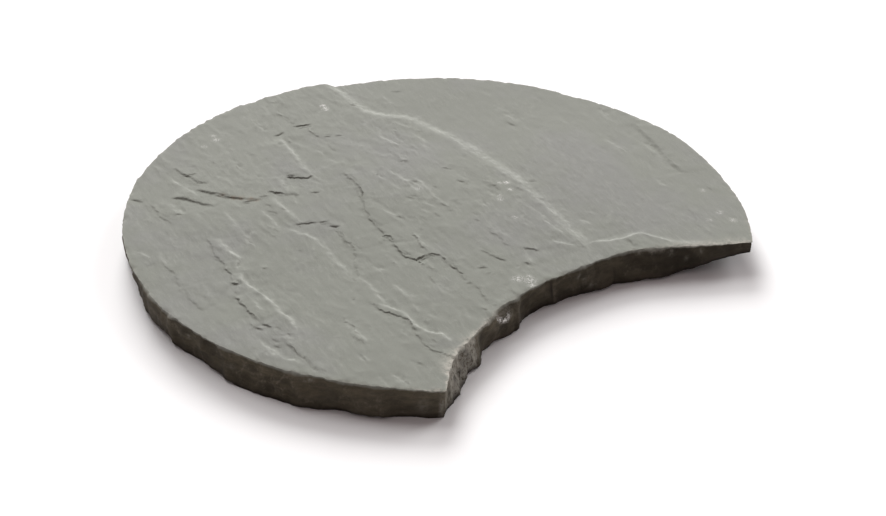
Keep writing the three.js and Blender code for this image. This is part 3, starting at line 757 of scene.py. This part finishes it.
co = np.zeros(len(stone.data.vertices) * 3)
stone.data.vertices.foreach_get("co", co)
x, y, z = (co.reshape(-1, 3) / MM).T
to_disc, to_bite = from_rim(x, y)
by_bite = to_bite < to_disc
disc_along = np.mod(np.arctan2(y, x) - ARC_START, 2 * math.pi) * DISC_RADIUS
disc_along = np.where(disc_along > ARC_LENGTH, np.where(x > 0, 0, ARC_LENGTH), disc_along)
bite_angle = np.arctan2(y + BITE_DISTANCE, x)
bite_along = ARC_LENGTH + (math.pi / 2 + BITE_HALF_ANGLE - bite_angle) * BITE_RADIUS
bite_along = np.clip(bite_along, ARC_LENGTH, RIM_LENGTH)
along = np.where(by_bite, bite_along, disc_along)
inside = np.maximum(np.where(by_bite, to_bite, to_disc), 0)
disc_out = np.stack([x, y], 1) / np.maximum(np.hypot(x, y), 1)[:, None]
bite_out = -unit(np.stack([x, y + BITE_DISTANCE], 1))
tip_gap = np.hypot(np.abs(x) - TIP_X, y - TIP_Y)
tip_share = (0.5 * smooth(1 - tip_gap / TIP_EASE))[:, None]
own_out = np.where(by_bite[:, None], bite_out, disc_out)
other_out = np.where(by_bite[:, None], disc_out, bite_out)
outward = unit(own_out * (1 - tip_share) + other_out * tip_share)
share = z / THICKNESS
on_wall = inside < WALL_SKIN
on_face = share > 1 - HAIR
on_bed = share < HAIR

# How far the hammered rim stands out from the two arcs: the place along it, and how far.
DISC_RIM = [(0, 1), (45, 0.5), (85, -1), (140, 0), (160, 2), (255, 1.5), (265, 0), (280, 1.5),
            (340, 1.5), (380, 0), (425, -1), (440, -3), (467, -3.5), (472, 1), (500, 3), (512, 1),
            (524, 3), (536, 1), (546, 3), (600, 1), (683, 0), (688, 1), (720, 0), (800, 0), (850, 0.5),
            (875, 2), (960, 3), (1000, 2.5), (1040, 1), (1070, 1), (1087, -1)]
BITE_RIM = [(1087, 6), (1100, 5), (1120, 2), (1140, 2), (1152, 4), (1180, 3.5), (1208, 3), (1225, 2),
            (1245, 2), (1254, 3.5), (1275, 3), (1300, 2), (1322, 1.5), (1332, 3), (1350, 6), (1366, 8),
            (1385, 8.5), (1396, 7.5), (1410, 6)]
RIM_REACH = 25.0  # the points this far inside move with it

# How far the foot of the wall stands out beyond the rim above it, or is undercut.
FOOT = [(0, 0), (20, -3), (96, -3), (104, 0), (148, 0), (154, 4), (232, 4), (240, 0), (262, -2),
        (330, -2), (374, 0), (378, 5), (420, 5), (426, 0), (450, -3), (550, -3), (590, 0), (594, 4),
        (660, 4), (668, 0), (740, 0), (770, -2.5), (800, -6), (820, -5), (845, -2.5), (872, -2.5),
        (890, 0), (936, 0), (946, 3.5), (958, 5), (1012, 6), (1022, 2), (1055, 2.5), (1063, 0),
        (1087, 0.5), (1094, 1.5), (1104, 4), (1115, 8), (1124, 8), (1138, 7), (1148, 4.5), (1154, 7),
        (1160, 6), (1172, 1), (1186, 1), (1200, 6), (1210, 6.5), (1215, 2), (1240, 0), (1252, 0),
        (1296, 5), (1305, 2.5), (1318, 6), (1336, 6.5), (1358, 1), (1410, 0)]


def follow(knots, place):
    """A quantity that changes along the rim, given at some places."""
    return np.interp(place, [k[0] for k in knots], [k[1] for k in knots])


# The rim is rough, though less so down its right side.
RIM_ROUGH = [(0.38, 3.1), (0.2, 1.4)]  # strength and pitch
SMOOTH_RIM, SMOOTH_RIM_HALF, SMOOTH_RIM_BY = 240, 260, 0.65

rim_rough = 1 - SMOOTH_RIM_BY * smooth(1 - np.abs(along - SMOOTH_RIM) / SMOOTH_RIM_HALF)
rim_rough = rim_rough * mixed(along, 0, RIM_ROUGH, 61) * smooth(tip_gap / TIP_EASE)
disc_move = follow(DISC_RIM, disc_along) * smooth(1 - to_disc / RIM_REACH)
bite_move = follow(BITE_RIM, bite_along) * smooth(1 - to_bite / RIM_REACH)
toe = follow(FOOT, along)

# A piece has spalled off the bite's rim, down to a little sharp shelf.
SPALL = (1183, 1213, 9, 12)  # from where to where along the rim, and how fast it comes and goes
SPALL_DEPTH, SPALL_FOOT = 1.8, 0.62
SHELF, SHELF_OUT = (1184, 1204, 4, 4), 0.8
SHELF_HIGH, SHELF_FALL = (1186, 17.5), 0.3  # its top at one place, and how fast that falls
SHELF_UNDER, SHELF_RISE = 4, 9


def in_bite(first, last, comes, goes):
    return by_bite * smooth((along - first) / comes) * smooth((last - along) / goes)


spall = in_bite(*SPALL)
shelf = in_bite(*SHELF) * (z < SHELF_HIGH[1] - SHELF_FALL * (along - SHELF_HIGH[0]))
shelf = shelf * smooth((z - SHELF_UNDER) / SHELF_RISE)

# The wall's scoops: where round dents of many blows meet, they leave sharp arrises. Each
# size of dent has its pitch and the radius of its hollow.
BIG, MIDDLING, SMALL = (27, 55), (10, 26), (4, 15)
DENT_GRID = (512, 64)
ARRIS = 1.6


def dents(u, v, pitch, hollow, seed):
    """At each point its dent's depth, a tone of its own, and how near its arris is."""
    slip = np.random.default_rng(seed).uniform(0, 1, (*DENT_GRID, 3))
    column, row = np.floor(u / pitch).astype(int), np.floor(v / pitch).astype(int)
    least, second, tone = np.full(len(u), FAR), np.full(len(u), FAR), np.zeros(len(u))
    for a in (-1, 0, 1):
        for b in (-1, 0, 1):
            c, r = column + a, row + b
            slid = slip[c % DENT_GRID[0], r % DENT_GRID[1]]
            far = (u - (c + slid[:, 0]) * pitch) ** 2 + (v - (r + slid[:, 1]) * pitch) ** 2
            closer = far < least
            second = np.where(closer, least, np.minimum(second, far))
            least = np.where(closer, far, least)
            tone = np.where(closer, 2 * slid[:, 2] - 1, tone)
    return least / (2 * hollow), tone, np.exp(-((np.sqrt(second) - np.sqrt(least)) / ARRIS) ** 2)


WALL_ROUGH = [(0.22, (2.2, 1.8)), (0.12, (1.1, 1.0))]
HORN_CALM, HORN_END, HORN_EASE = 0.2, 8, 40  # the dents die away towards a horn's tip
BACK_END, BACK_CALM = 760, 0.75  # and are shallower on the right and the back

calm = HORN_CALM + (1 - HORN_CALM) * smooth((tip_gap - HORN_END) / HORN_EASE)
calm = calm * np.where(along < BACK_END, BACK_CALM, 1)
big, big_tone, big_arris = dents(along + 0.5 * z, 0.6 * z, *BIG, 71)
middling, middling_tone, middling_arris = dents(along, z, *MIDDLING, 72)
small, _, _ = dents(along, z, *SMALL, 73)
roughness = mixed(along, z, WALL_ROUGH, 74)

# The fresher break at the end of the left horn is rougher, torn into steep little steps.
END_DARK, END_LIGHT = 1086, 1102  # where its dark part and its light part start
END_STOP, FACET_STOP = 1155, 1168  # where it ends, and the dull facet beside it
END_LEAN = 0.4  # its far edges lean by this much
DARK_FRESH, FACET_FRESH = 0.35, 0.16
TORN_DENTS, FINE_DENTS = (6, 7), (3, 4)
TORN_DEEP, FINE_DEEP, TORN_BACK = 0.75, 0.7, 0.9

leant = along - END_LEAN * (z - THICKNESS / 2)
fresh = smooth((along - END_DARK) / 4) * (DARK_FRESH + (1 - DARK_FRESH) * smooth((along - END_LIGHT) / 8))
fresh = fresh * smooth((END_STOP - leant) / 3)
fresh = np.maximum(fresh, FACET_FRESH * by_bite * smooth((FACET_STOP - leant) / 5)) * on_wall
torn, torn_tone, _ = dents(along - 0.5 * z + 2 * noise(along, z, 5, 76), z, *TORN_DENTS, 77)
torn_fine, torn_fine_tone, _ = dents(along + 0.3 * z, z, *FINE_DENTS, 78)
roughness = roughness + fresh * (TORN_DEEP * torn + FINE_DEEP * torn_fine - TORN_BACK)

BELLY, SET_BACK = 0.9, 1.9  # the wall swells below its rim, and all dents start this far in
FRONT_START, BACK_BULGE, FRONT_BULGE = 800, 0.6, 2.4  # the most that it stands out, back and front
EDGE_PART, EDGE_KEPT = 9, 0.25  # a ninth of the height at top and foot holds back
FOOT_ROUND, FOOT_HEIGHT = 2.2, 3.4

leaning = toe * (1 - share)
wall_out = leaning + BELLY * share * (1 - share**8) - SET_BACK + (big + middling + small) * calm + roughness
edge = smooth(np.minimum(share, 1 - share) * EDGE_PART)
bulge = np.minimum(wall_out - leaning, np.where(along < FRONT_START, BACK_BULGE, FRONT_BULGE))
wall_out = leaning + bulge * (EDGE_KEPT + (1 - EDGE_KEPT) * edge)
wall_out = np.where(on_face, 0, wall_out)
wall_out = wall_out - SPALL_DEPTH * spall * smooth((share - SPALL_FOOT) / (1 - SPALL_FOOT))
wall_out = wall_out + SHELF_OUT * shelf
foot_round = FOOT_ROUND * (0.7 + 0.5 * noise(along, 0, 9, 79))
wall_out = wall_out - foot_round * np.maximum(1 - z / FOOT_HEIGHT, 0) ** 2

# Every point moves with its rim, the wall by its own blows. Inside the rim the rim's
# roughness, the foot's and the spall's moves die away over these lengths.
ROUGH_REACH, TOE_REACH, SPALL_REACH = 6, 12, 11

move = rim_rough * smooth(1 - inside / ROUGH_REACH)
move = move + np.where(on_bed, toe * smooth(1 - inside / TOE_REACH), 0)
move = move - np.where(on_face, SPALL_DEPTH * spall * smooth(1 - inside / SPALL_REACH), 0)
move = np.where(on_wall, rim_rough + wall_out, move)
x, y = [at + outward[:, k] * move + disc_out[:, k] * disc_move + bite_out[:, k] * bite_move
        for k, at in enumerate((x, y))]

# The riven face: the roll of the bedding, and its ledges.
ROLL = [(0.5, 0.021, 0.008, 0.6), (0.3, 0.046, -0.016, 2), (0.25, 0.013, 0.033, 0)]

top = THICKNESS + sum(swell * np.sin(by_x * x + by_y * y + start) for swell, by_x, by_y, start in ROLL)
dark, pale = np.zeros((2, len(x)))
for k, (ledge, line) in enumerate(zip(ledges, lines)):
    height, shade, wear_and_highlight = ledge_effect(ledge, line, x, y, 300 + 3 * k)
    top = top + height
    dark = np.maximum(dark, shade)
    pale = np.maximum(pale, wear_and_highlight)

# Flutes, streaks and fine ridges of the bedding, drawn out along the grain and bent a
# little. Each has its strength and its pitch across and along the grain.
BEND, BEND_PITCH = 5, 37
FLUTES = [(0.22, (13, 60)), (0.15, (6.5, 27))]
STREAKS = [(0.13, (3.6, 13)), (0.12, (2.2, 7))]
RIDGE = 0.26
SMOOTHER_FROM, SMOOTHER_OVER, SMOOTHER = 62, 40, 0.65  # the right of the face is smoother

bent_x, bent_y = x + BEND * noise(x, y, BEND_PITCH, 80), y + BEND * noise(x, y, BEND_PITCH, 81)
with_grain, cross_grain = to_grain(bent_x, bent_y)
rough = SMOOTHER + (1 - SMOOTHER) * (1 - smooth((x - SMOOTHER_FROM) / SMOOTHER_OVER))
flutes = mixed(cross_grain, with_grain, FLUTES, 82)
streaks = mixed(cross_grain, with_grain, STREAKS, 84)
lifted = smooth(0.5 + 1.5 * noise(x, y, 30, 87))
streaks = streaks + RIDGE * lifted * (1 - np.abs(noise(cross_grain, with_grain, (5.5, 26), 88))) ** 5
streaks = streaks + RIDGE * (1 - lifted) * (1 - np.abs(noise(cross_grain, with_grain, (8, 44), 89))) ** 7
top = top + (flutes + streaks) * rough

# Thin scales: terraces whose edges are a steady width, and fade in and out.
SCALES = [(1, (16, 42)), (0.55, (7, 17)), (0.25, (3, 6))]
SCALE_LEVELS, SCALE_EDGE, SCALE_RISE = 2.6, 1.3, 0.18


def scales(u, v):
    return SCALE_LEVELS * mixed(v, u, SCALES, 91)


here = scales(with_grain, cross_grain)
slope_u, slope_v = scales(with_grain + 0.5, cross_grain) - here, scales(with_grain, cross_grain + 0.5) - here
riser = np.maximum(np.hypot(slope_u, slope_v) / 0.5 * SCALE_EDGE, 0.02)
part = here - np.floor(here)
terraces = np.floor(here) + smooth(0.5 + (part - 0.5) / riser) - here
top = top + SCALE_RISE * rough * smooth(0.5 + 1.4 * noise(x, y, 24, 90)) * terraces

# Short splinters lifted along the grain, thickest on the ground left of the long step.
SPLINTERS, SPLINTER_FRONT = 1000, -200
SPLINTER_TURN, SPLINTER_BOW = 0.16, 0.07
SPLINTER_LENGTH = (7, 24)
SPLINTER_DROP = (0.18, 0.6)
SPLINTER_RUN, SPLINTER_FADE, SPLINTER_PALE = 1.5, 3, 0.4
RIPPLED, RIPPLED_WIDTH, RIPPLED_BY = (20, 35), 55, 0.5  # the ground where they are thickest
KEPT_LEFT, KEPT_RIGHT, KEPT_DIVIDE = 0.95, 0.4, 66

random = np.random.default_rng(95)
for k in range(SPLINTERS):
    at_x, at_y = random.uniform(-DISC_RADIUS, DISC_RADIUS), random.uniform(SPLINTER_FRONT, DISC_RADIUS)
    heading = GRAIN + random.normal(0, SPLINTER_TURN)
    length = random.uniform(*SPLINTER_LENGTH)
    drop = random.uniform(*SPLINTER_DROP) * random.choice((-1, 1))
    bow = random.normal(0, SPLINTER_BOW) * length
    keep = random.uniform()
    gap = (at_x - RIPPLED[0]) ** 2 + (at_y - RIPPLED[1]) ** 2
    rippled = RIPPLED_BY * math.exp(-gap / RIPPLED_WIDTH**2)
    thick = 0.45 + 0.8 * smooth(0.5 + 1.2 * noise(at_x, at_y, 38, 96)) + rippled
    if keep > (KEPT_LEFT if at_x < KEPT_DIVIDE else KEPT_RIGHT) * thick:
        continue
    way = np.array([math.cos(heading), math.sin(heading)])
    start = np.array([at_x, at_y]) - way * length / 2
    middle = np.array([at_x, at_y]) + bow * np.array([-way[1], way[0]])
    corners = [start, middle, start + way * length][::1 if drop > 0 else -1]
    size = abs(drop)
    # its arris is painted pale as well, part wear and part painted highlight
    splinter = Ledge(size, SPLINTER_RUN, SPLINTER_FADE, SPLINTER_FADE, 0, SPLINTER_PALE * size, corners)
    height, shade, wear_and_highlight = ledge_effect(splinter, worn_line(corners, 500 + k), x, y, 700 + k)
    top = top + height
    pale = np.maximum(pale, wear_and_highlight)

# The rim's arris is knocked off in small chips.
CHIP_PITCH = 4.5
CHIP_DEPTH, CHIP_DEEPER = 0.12, 0.65
CHIP_REACH, CHIP_WIDER = 0.45, 1.3

chipped = 0.5 + 0.5 * noise(along, 0, CHIP_PITCH, 86)
chip_reach = CHIP_REACH + CHIP_WIDER * chipped**3
top = top - (CHIP_DEPTH + CHIP_DEEPER * chipped**3) * np.exp(-(inside / chip_reach) ** 1.5)

# The flake lost from under the right horn: how high the underside stands, towards the tip.
FLAKE_HEADING = math.atan2(-0.75, 0.66)
FLAKE = [(0, 0), (170, 0), (192, 6), (222, 13)]

under = follow(FLAKE, x * math.cos(FLAKE_HEADING) + y * math.sin(FLAKE_HEADING))
z = under + (top - under) * share

stone.data.vertices.foreach_set("co", (np.stack([x, y, z], 1) * MM).ravel())
stone.data.update()


def paint(name, face, wall):
    layer = stone.data.attributes.new(name, "FLOAT", "POINT")
    layer.data.foreach_set("value", np.where(on_face, face, wall).astype(np.float32))


def spots(marks):
    """How much each point lies in any of some round marks: place, radius and strength."""
    held = np.zeros(len(x))
    for at_x, at_y, radius, strength in marks:
        held = np.maximum(held, strength * np.exp(-((x - at_x) ** 2 + (y - at_y) ** 2) / radius**2))
    return held


def wall_marks(marks):
    """The same on the wall: place along the rim, height, half length, half height, strength."""
    held = np.zeros(len(x))
    for place, high, long, tall, strength in marks:
        held = np.maximum(held, strength * np.exp(-((along - place) / long) ** 2 - ((z - high) / tall) ** 2))
    return held


# Marks of colour only on the face: white quartz flecks, brown iron in the plateau's ledge,
# painted shade in pits, and the corner that is bruised right back at the mouth of the crack.
QUARTZ = [(44, 185, 2.4, 0.9), (43, 181, 2.2, 0.9), (42, 178, 1.8, 0.6), (70, 1, 2.0, 1.0), (66, 4, 1.6, 0.5),
          (65, -8, 1.8, 0.6), (50, -14, 2.0, 0.6), (53, -10, 1.6, 0.5), (-17, -103, 3.4, 0.6),
          (-12, -110, 3.6, 0.6), (-15, -115, 2.4, 0.6), (-9, -106, 2.2, 0.5), (-55, 192, 2.6, 0.5),
          (-53, 199, 1.8, 0.4), (-69, 189, 2.0, 0.35), (177, -98, 2.0, 0.5), (161, -129, 1.8, 0.5),
          (160, -143, 2.2, 0.5), (147, -132, 1.8, 0.4), (40, -40, 1.8, 0.4), (13, 35, 2.0, 0.35),
          (-118, -152, 1.5, 0.8)]
IRON = [(-99, 112, 2.2, 0.8), (-95, 108, 2.4, 0.9), (-91, 102, 2.4, 0.9), (-88, 98, 2.0, 0.7),
        (-103, 120, 2.0, 0.5)]
PIT_SHADE = [(-150, 168, 1.8, 0.6), (-130, 181, 1.8, 0.6), (-68, 212, 2.0, 0.7), (-74, 210, 1.6, 0.6),
        (-27, 218, 1.8, 0.6), (143, 170, 1.6, 0.4), (-209, 71, 1.4, 0.5), (79, -124, 1.5, 0.6),
        (-220, -9, 1.4, 0.5)]
CRACK_MOUTH = [(-117, -145, 3.2, 0.9), (-114, -146, 2.6, 0.8), (-121, -150, 3.4, 0.9), (-126, -154, 3, 0.8),
               (-97, -138.5, 3, 0.6), (-92, -137.5, 2.6, 0.5)]
# Marks on the wall: light where the stone is bruised, painted shade where it is cracked, and a
# painted highlight, white, on the hooked chip by the spall where it catches the light.
WALL_LIGHT = [(1117, 20.8, 7, 2.0, 0.8), (1108, 13.5, 2.2, 0.8, 0.8), (1155, 18, 1.2, 3, 0.8),
              (1152, 13, 1.1, 3.5, 0.8), (1149.5, 8.5, 1.4, 2.4, 1), (1150, 20.5, 5, 1.4, 0.5),
              (1127, 16, 3, 1.8, 0.5), (1122, 11, 3, 2, 0.45), (1108, 17.5, 2.4, 2, 0.5),
              (1326, 20.6, 2, 0.8, 0.6), (1336, 20.9, 3, 0.7, 0.6), (1343, 20.4, 2, 1, 0.5),
              (1350, 19, 1.8, 2.2, 0.45), (1373, 18.5, 1.6, 2.2, 0.4), (1362, 13, 1.4, 1.6, 0.3),
              (1274, 16, 1.2, 2.2, 0.4), (1279, 12, 1.2, 2.4, 0.4), (1284, 7.5, 1.2, 2.2, 0.4),
              (1004, 19.5, 4, 1, 0.6), (1013, 8.5, 8, 0.5, 0.9), (1075, 9, 3, 6, 0.2), (948, 12, 3, 1, 0.4),
              (905, 14, 2.5, 1.2, 0.4), (1085, 8, 1.4, 8, 0.55)]
CRACK_SHADE = [(1250, 12, 1.3, 9, 1), (1194, 11.6, 4.5, 0.9, 0.8), (1167, 11, 3.4, 10, 0.5),
               (1306, 8, 1, 5, 0.5), (941, 5, 1.2, 4, 0.7), (1118, 10, 1.6, 4, 0.6), (1134, 13, 2, 4, 0.5),
               (1119, 18.4, 2.4, 2, 0.75), (1116, 13.5, 2.4, 2.6, 0.75), (1128, 10.5, 2.2, 2, 0.7),
               (1132, 19.6, 2.2, 1.8, 0.75), (1139, 20.2, 3, 1.5, 0.75), (1141, 16.5, 1.8, 3.5, 0.7),
               (1146, 13, 1.8, 3.5, 0.65), (1137, 11, 1.8, 2.5, 0.6), (1098, 12, 6, 7, 0.4)]
HOOK_HIGHLIGHT = [(1188, 18.6, 1.1, 1.2, 1.6), (1190.5, 16.5, 1.5, 1.1, 2), (1194, 14.4, 1.8, 1, 2.2),
        (1197, 14, 1.5, 1, 2.2), (1199.5, 15.6, 1.1, 1.1, 1.5)]

SPALL_FRESH = 0.22

# The face is painted a shade darker towards the left horn: painted shade, as if the light
# fell off there.
DRIFT_X, DRIFT_Y, DRIFT_OVER = 0.7, 0.72, 260
falloff_shade = smooth(0.5 - (DRIFT_X * x + DRIFT_Y * y) / DRIFT_OVER)
paint("dark", np.maximum(dark, spots(PIT_SHADE)), 0)
paint("pale", pale, 0)
paint("falloff_shade", falloff_shade, falloff_shade)
paint("iron", spots(IRON), 0)
paint("wall", 0, 1)
paint("fresh", 0, np.maximum(fresh, SPALL_FRESH * spall * (share > SPALL_FOOT)))
# On the wall the same white paints a highlight on the hooked chip by the spall, where it catches the light.
paint("quartz_and_highlight", spots(QUARTZ), wall_marks(HOOK_HIGHLIGHT))

# The wall is painted the darker the lower, darkest at its foot and towards the right horn:
# painted shade, as is the dark in its cracks.
DEEP = [(0, 0.35), (60, 0), (800, 0), (830, 0.28), (890, 0.24), (915, 0.04), (990, 0.04), (1020, 0.12),
        (1075, 0.12), (1090, 0), (1180, 0.1), (1200, 0.2), (1330, 0.3), (1352, 0.55), (1410, 0.6)]
LOW_DEEPER = 0.34
FOOT_LEFT, FOOT_DARK_TO, FRESH_DARK_TO = 0.06, 3.6, 2.6

unshaded = (1 - follow(DEEP, along)) * (1 - LOW_DEEPER * (1 - share))
unshaded = unshaded * (FOOT_LEFT + (1 - FOOT_LEFT) * smooth((z - under) / (FOOT_DARK_TO + FRESH_DARK_TO * fresh)))
paint("wall_shade", 0, 1 - unshaded * (1 - wall_marks(CRACK_SHADE)))

# Each dent is painted a tone of its own, lighter or darker: painted light and shade for facets
# that take the light unevenly. Some of the arrises between them are struck pale, part bruise
# and part painted highlight.
torn_tones = 0.15 * torn_tone + 0.6 * torn_fine_tone + 0.25
tones = 0.5 + 0.5 * np.where(fresh > 0.5, torn_tones, 0.65 * big_tone + 0.35 * middling_tone)
paint("tone", tones, tones)
struck_big = big_arris * (noise(along, z, (11, 9), 97) > 0)
struck_middling = middling_arris * (noise(along, z, (13, 11), 98) > 0.35)
paint("struck_and_highlight", 0, np.maximum(struck_big, struck_middling) * smooth(share * 5))

# The rim is bruised pale in a line that comes and goes, and is widest in the bite by the horns.
BRUISED_RIM = [(0, 0.6), (40, 0.25), (300, 0.15), (700, 0.15), (1060, 0.25), (1086, 1.2), (1172, 1.2),
               (1186, 0.5), (1215, 0.2), (1310, 0.25), (1330, 0.5), (1346, 0.5), (1362, 0.9), (1410, 1.1)]
BRUISE_WIDER = [(1102, 0), (1112, 3), (1128, 2.6), (1140, 1.0), (1158, 1.4), (1166, 0), (1340, 0), (1352, 3)]
BRUISE_REACH, BRUISE_CHIPS, BRUISE_ABOVE = 0.7, 2.0, 0.95

reach = BRUISE_REACH + BRUISE_CHIPS * chipped**2 + by_bite * follow(BRUISE_WIDER, along)
bruised = follow(BRUISED_RIM, along) * np.exp(-(inside / reach) ** 1.5)
bruised = np.where(share > BRUISE_ABOVE, bruised, 0)
paint("bruise", np.maximum(bruised, spots(CRACK_MOUTH)), np.maximum(bruised, wall_marks(WALL_LIGHT)))

SHARP_ANGLE = math.radians(30)

select(stone)
bpy.ops.object.shade_smooth_by_angle(angle=SHARP_ANGLE)


# Sandstone: an even grey with a faint olive cast, streaked with the grain, with painted shade in
# the creases, pale where an arris is worn and partly a painted highlight there, and brown on the
# struck wall, with painted light and shade on its dents and foot.
def colour(red, green, blue):
    return (red, green, blue, 1.0)


GREY = colour(0.205, 0.212, 0.185)
VIOLET = colour(0.207, 0.210, 0.194)
PALE = colour(0.272, 0.279, 0.246)
SHADE = colour(0.162, 0.166, 0.141)
FALLOFF_SHADE = colour(0.90, 0.905, 0.895)
CREASE_SHADE = colour(0.085, 0.080, 0.062)
WEAR_AND_HIGHLIGHT_PALE = colour(0.344, 0.353, 0.320)
QUARTZ_AND_HIGHLIGHT_WHITE = colour(0.78, 0.77, 0.74)
IRON_BROWN = colour(0.17, 0.125, 0.085)
SHADE_DARK = colour(0.012, 0.009, 0.006)
WALL_DARK = colour(0.056, 0.047, 0.031)
WALL_BROWN = colour(0.118, 0.099, 0.066)
WALL_CHIP_AND_HIGHLIGHT = colour(0.22, 0.19, 0.15)
FRESH_GREY = colour(0.30, 0.285, 0.245)
BRUISED = colour(0.36, 0.345, 0.30)
SHINE = 0.25
GRAIN_STRETCH = (0.28, 1.0, 1.0)
WALL_FLATTEN = (1.0, 1.0, 3.2)
BUMP_STRENGTH = 0.8
BUMP_HEIGHT = 0.32
STREAK_RELIEF, FINE_RELIEF = 0.8, 0.45

stone_finish = bpy.data.materials.new("grey_sandstone")
stone_finish.use_nodes = True
nodes, links = stone_finish.node_tree.nodes, stone_finish.node_tree.links
shader = nodes["Principled BSDF"]
shader.inputs["Specular IOR Level"].default_value = SHINE


def node(kind, **settings):
    made = nodes.new(kind)
    for name, value in settings.items():
        setattr(made, name, value)
    return made


def put(value, socket):
    if isinstance(value, bpy.types.NodeSocket):
        links.new(value, socket)
    else:
        socket.default_value = value


def attribute(name):
    return node("ShaderNodeAttribute", attribute_name=name).outputs["Fac"]


def blend(factor, first, second, kind="MIX"):
    made = node("ShaderNodeMix", data_type="RGBA", blend_type=kind)
    for value, socket in ((factor, 0), (first, 6), (second, 7)):
        put(value, made.inputs[socket])
    return made.outputs[2]


def sums(operation, first, second):
    made = node("ShaderNodeMath", operation=operation)
    put(first, made.inputs[0])
    put(second, made.inputs[1])
    return made.outputs[0]


def span(value, low, high, to_low=0.0, to_high=1.0):
    made = node("ShaderNodeMapRange")
    put(value, made.inputs["Value"])
    for name, number in (("From Min", low), ("From Max", high), ("To Min", to_low), ("To Max", to_high)):
        made.inputs[name].default_value = number
    return made.outputs["Result"]


def speckle(vector, scale, detail=6.0, rough=0.6):
    made = node("ShaderNodeTexNoise")
    for name, value in (("Vector", vector), ("Scale", scale), ("Detail", detail), ("Roughness", rough)):
        put(value, made.inputs[name])
    return made.outputs["Fac"]


def mapped(vector, how, value):
    made = node("ShaderNodeMapping")
    put(vector, made.inputs["Vector"])
    put(value, made.inputs[how])
    return made.outputs["Vector"]


place = node("ShaderNodeTexCoord").outputs["Object"]
grain_place = mapped(mapped(place, "Rotation", (0, 0, -GRAIN)), "Scale", GRAIN_STRETCH)
fine = speckle(place, 1100, 4, 0.7)
streaked = speckle(grain_place, 420, 5, 0.6)
patchy = span(speckle(place, 24, 3), 0.38, 0.62, 0.3, 1.3)
streaked = sums("ADD", sums("MULTIPLY", sums("SUBTRACT", streaked, 0.5), patchy), 0.5)
breaks = span(speckle(grain_place, 640, 4, 0.65), 0.38, 0.58)
wear_and_highlight = sums("MULTIPLY", attribute("pale"), span(breaks, 0, 1, 0.45, 0.95))

# The riven face. Each colour comes in by the factor beside it, over the ones before.
face_colour = blend(span(speckle(place, 11, 3), 0.5, 0.66), GREY, VIOLET)
# painted shade: the face darker towards the left horn
face_colour = blend(attribute("falloff_shade"), face_colour, FALLOFF_SHADE, "MULTIPLY")
for factor, tint in (
        (span(streaked, 0.52, 0.75, 0, 0.38), PALE),
        (span(streaked, 0.46, 0.28, 0, 0.38), SHADE),
        (span(fine, 0.53, 0.78, 0, 0.46), PALE),
        (span(fine, 0.47, 0.25, 0, 0.44), SHADE),
        # pale arrises: part wear, part painted highlight
        (sums("MULTIPLY", wear_and_highlight, 0.62), WEAR_AND_HIGHLIGHT_PALE),
        (sums("MULTIPLY", attribute("iron"), span(breaks, 0, 1, 0.3, 0.9)), IRON_BROWN),
        # painted shade at the ledges' feet and in the pits
        (sums("MULTIPLY", attribute("dark"), 0.3), CREASE_SHADE)):
    face_colour = blend(factor, face_colour, tint)

# The wall, in the same way, with painted light and shade by each dent's tone, a painted
# highlight on struck arrises, and painted shade at its foot, in its cracks and towards the right horn.
wall_mottle = speckle(mapped(place, "Scale", WALL_FLATTEN), 62, 6, 0.65)
tone = attribute("tone")
lit = sums("ADD", tone, span(speckle(place, 400, 4, 0.7), 0.38, 0.62, -0.55, 1.0))
struck_and_highlight = sums("MULTIPLY", attribute("struck_and_highlight"), span(speckle(place, 480, 4, 0.65), 0.42, 0.6, 0, 0.5))
wall_colour = blend(span(wall_mottle, 0.40, 0.68), WALL_DARK, WALL_BROWN)
for factor, tint in (
        (span(fine, 0.56, 0.76, 0, 0.5), WALL_CHIP_AND_HIGHLIGHT),
        # struck arrises: part bruise, part painted highlight
        (struck_and_highlight, WALL_CHIP_AND_HIGHLIGHT),
        # painted shade and painted light by each dent's tone
        (span(tone, 0.5, 0, 0, 0.45), SHADE_DARK),
        (span(tone, 0.5, 1, 0, 0.16), WALL_CHIP_AND_HIGHLIGHT),
        (sums("MULTIPLY", attribute("fresh"), lit), FRESH_GREY),
        # painted shade at the wall's foot, in its cracks and towards the right horn
        (attribute("wall_shade"), SHADE_DARK)):
    wall_colour = blend(factor, wall_colour, tint)

# The two together, with what is bruised or white quartz on either, and the painted highlight
# on the wall's hooked chip.
quartz_and_highlight = attribute("quartz_and_highlight")
flecks = sums("MULTIPLY", quartz_and_highlight, span(speckle(place, 900, 3, 0.6), 0.42, 0.6))
flecks = sums("MAXIMUM", flecks, span(quartz_and_highlight, 0.9, 1.5))
bruises = sums("MULTIPLY", attribute("bruise"), span(speckle(place, 420, 4, 0.65), 0.38, 0.58, 0.25, 1))
stone_colour = blend(attribute("wall"), face_colour, wall_colour)
stone_colour = blend(bruises, stone_colour, BRUISED)
# white quartz flecks on the face, and the painted highlight on the wall's hooked chip
stone_colour = blend(flecks, stone_colour, QUARTZ_AND_HIGHLIGHT_WHITE)
links.new(stone_colour, shader.inputs["Base Color"])
links.new(span(fine, 0.2, 0.8, 0.78, 0.95), shader.inputs["Roughness"])

bump = node("ShaderNodeBump")
bump.inputs["Strength"].default_value = BUMP_STRENGTH
bump.inputs["Distance"].default_value = BUMP_HEIGHT * MM
relief = sums("ADD", sums("MULTIPLY", streaked, STREAK_RELIEF), sums("MULTIPLY", fine, FINE_RELIEF))
links.new(relief, bump.inputs["Height"])
links.new(bump.outputs["Normal"], shader.inputs["Normal"])
stone.data.materials.clear()
stone.data.materials.append(stone_finish)

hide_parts("stone")
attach(stone, "root")

print("triangles", len(stone.data.polygons))
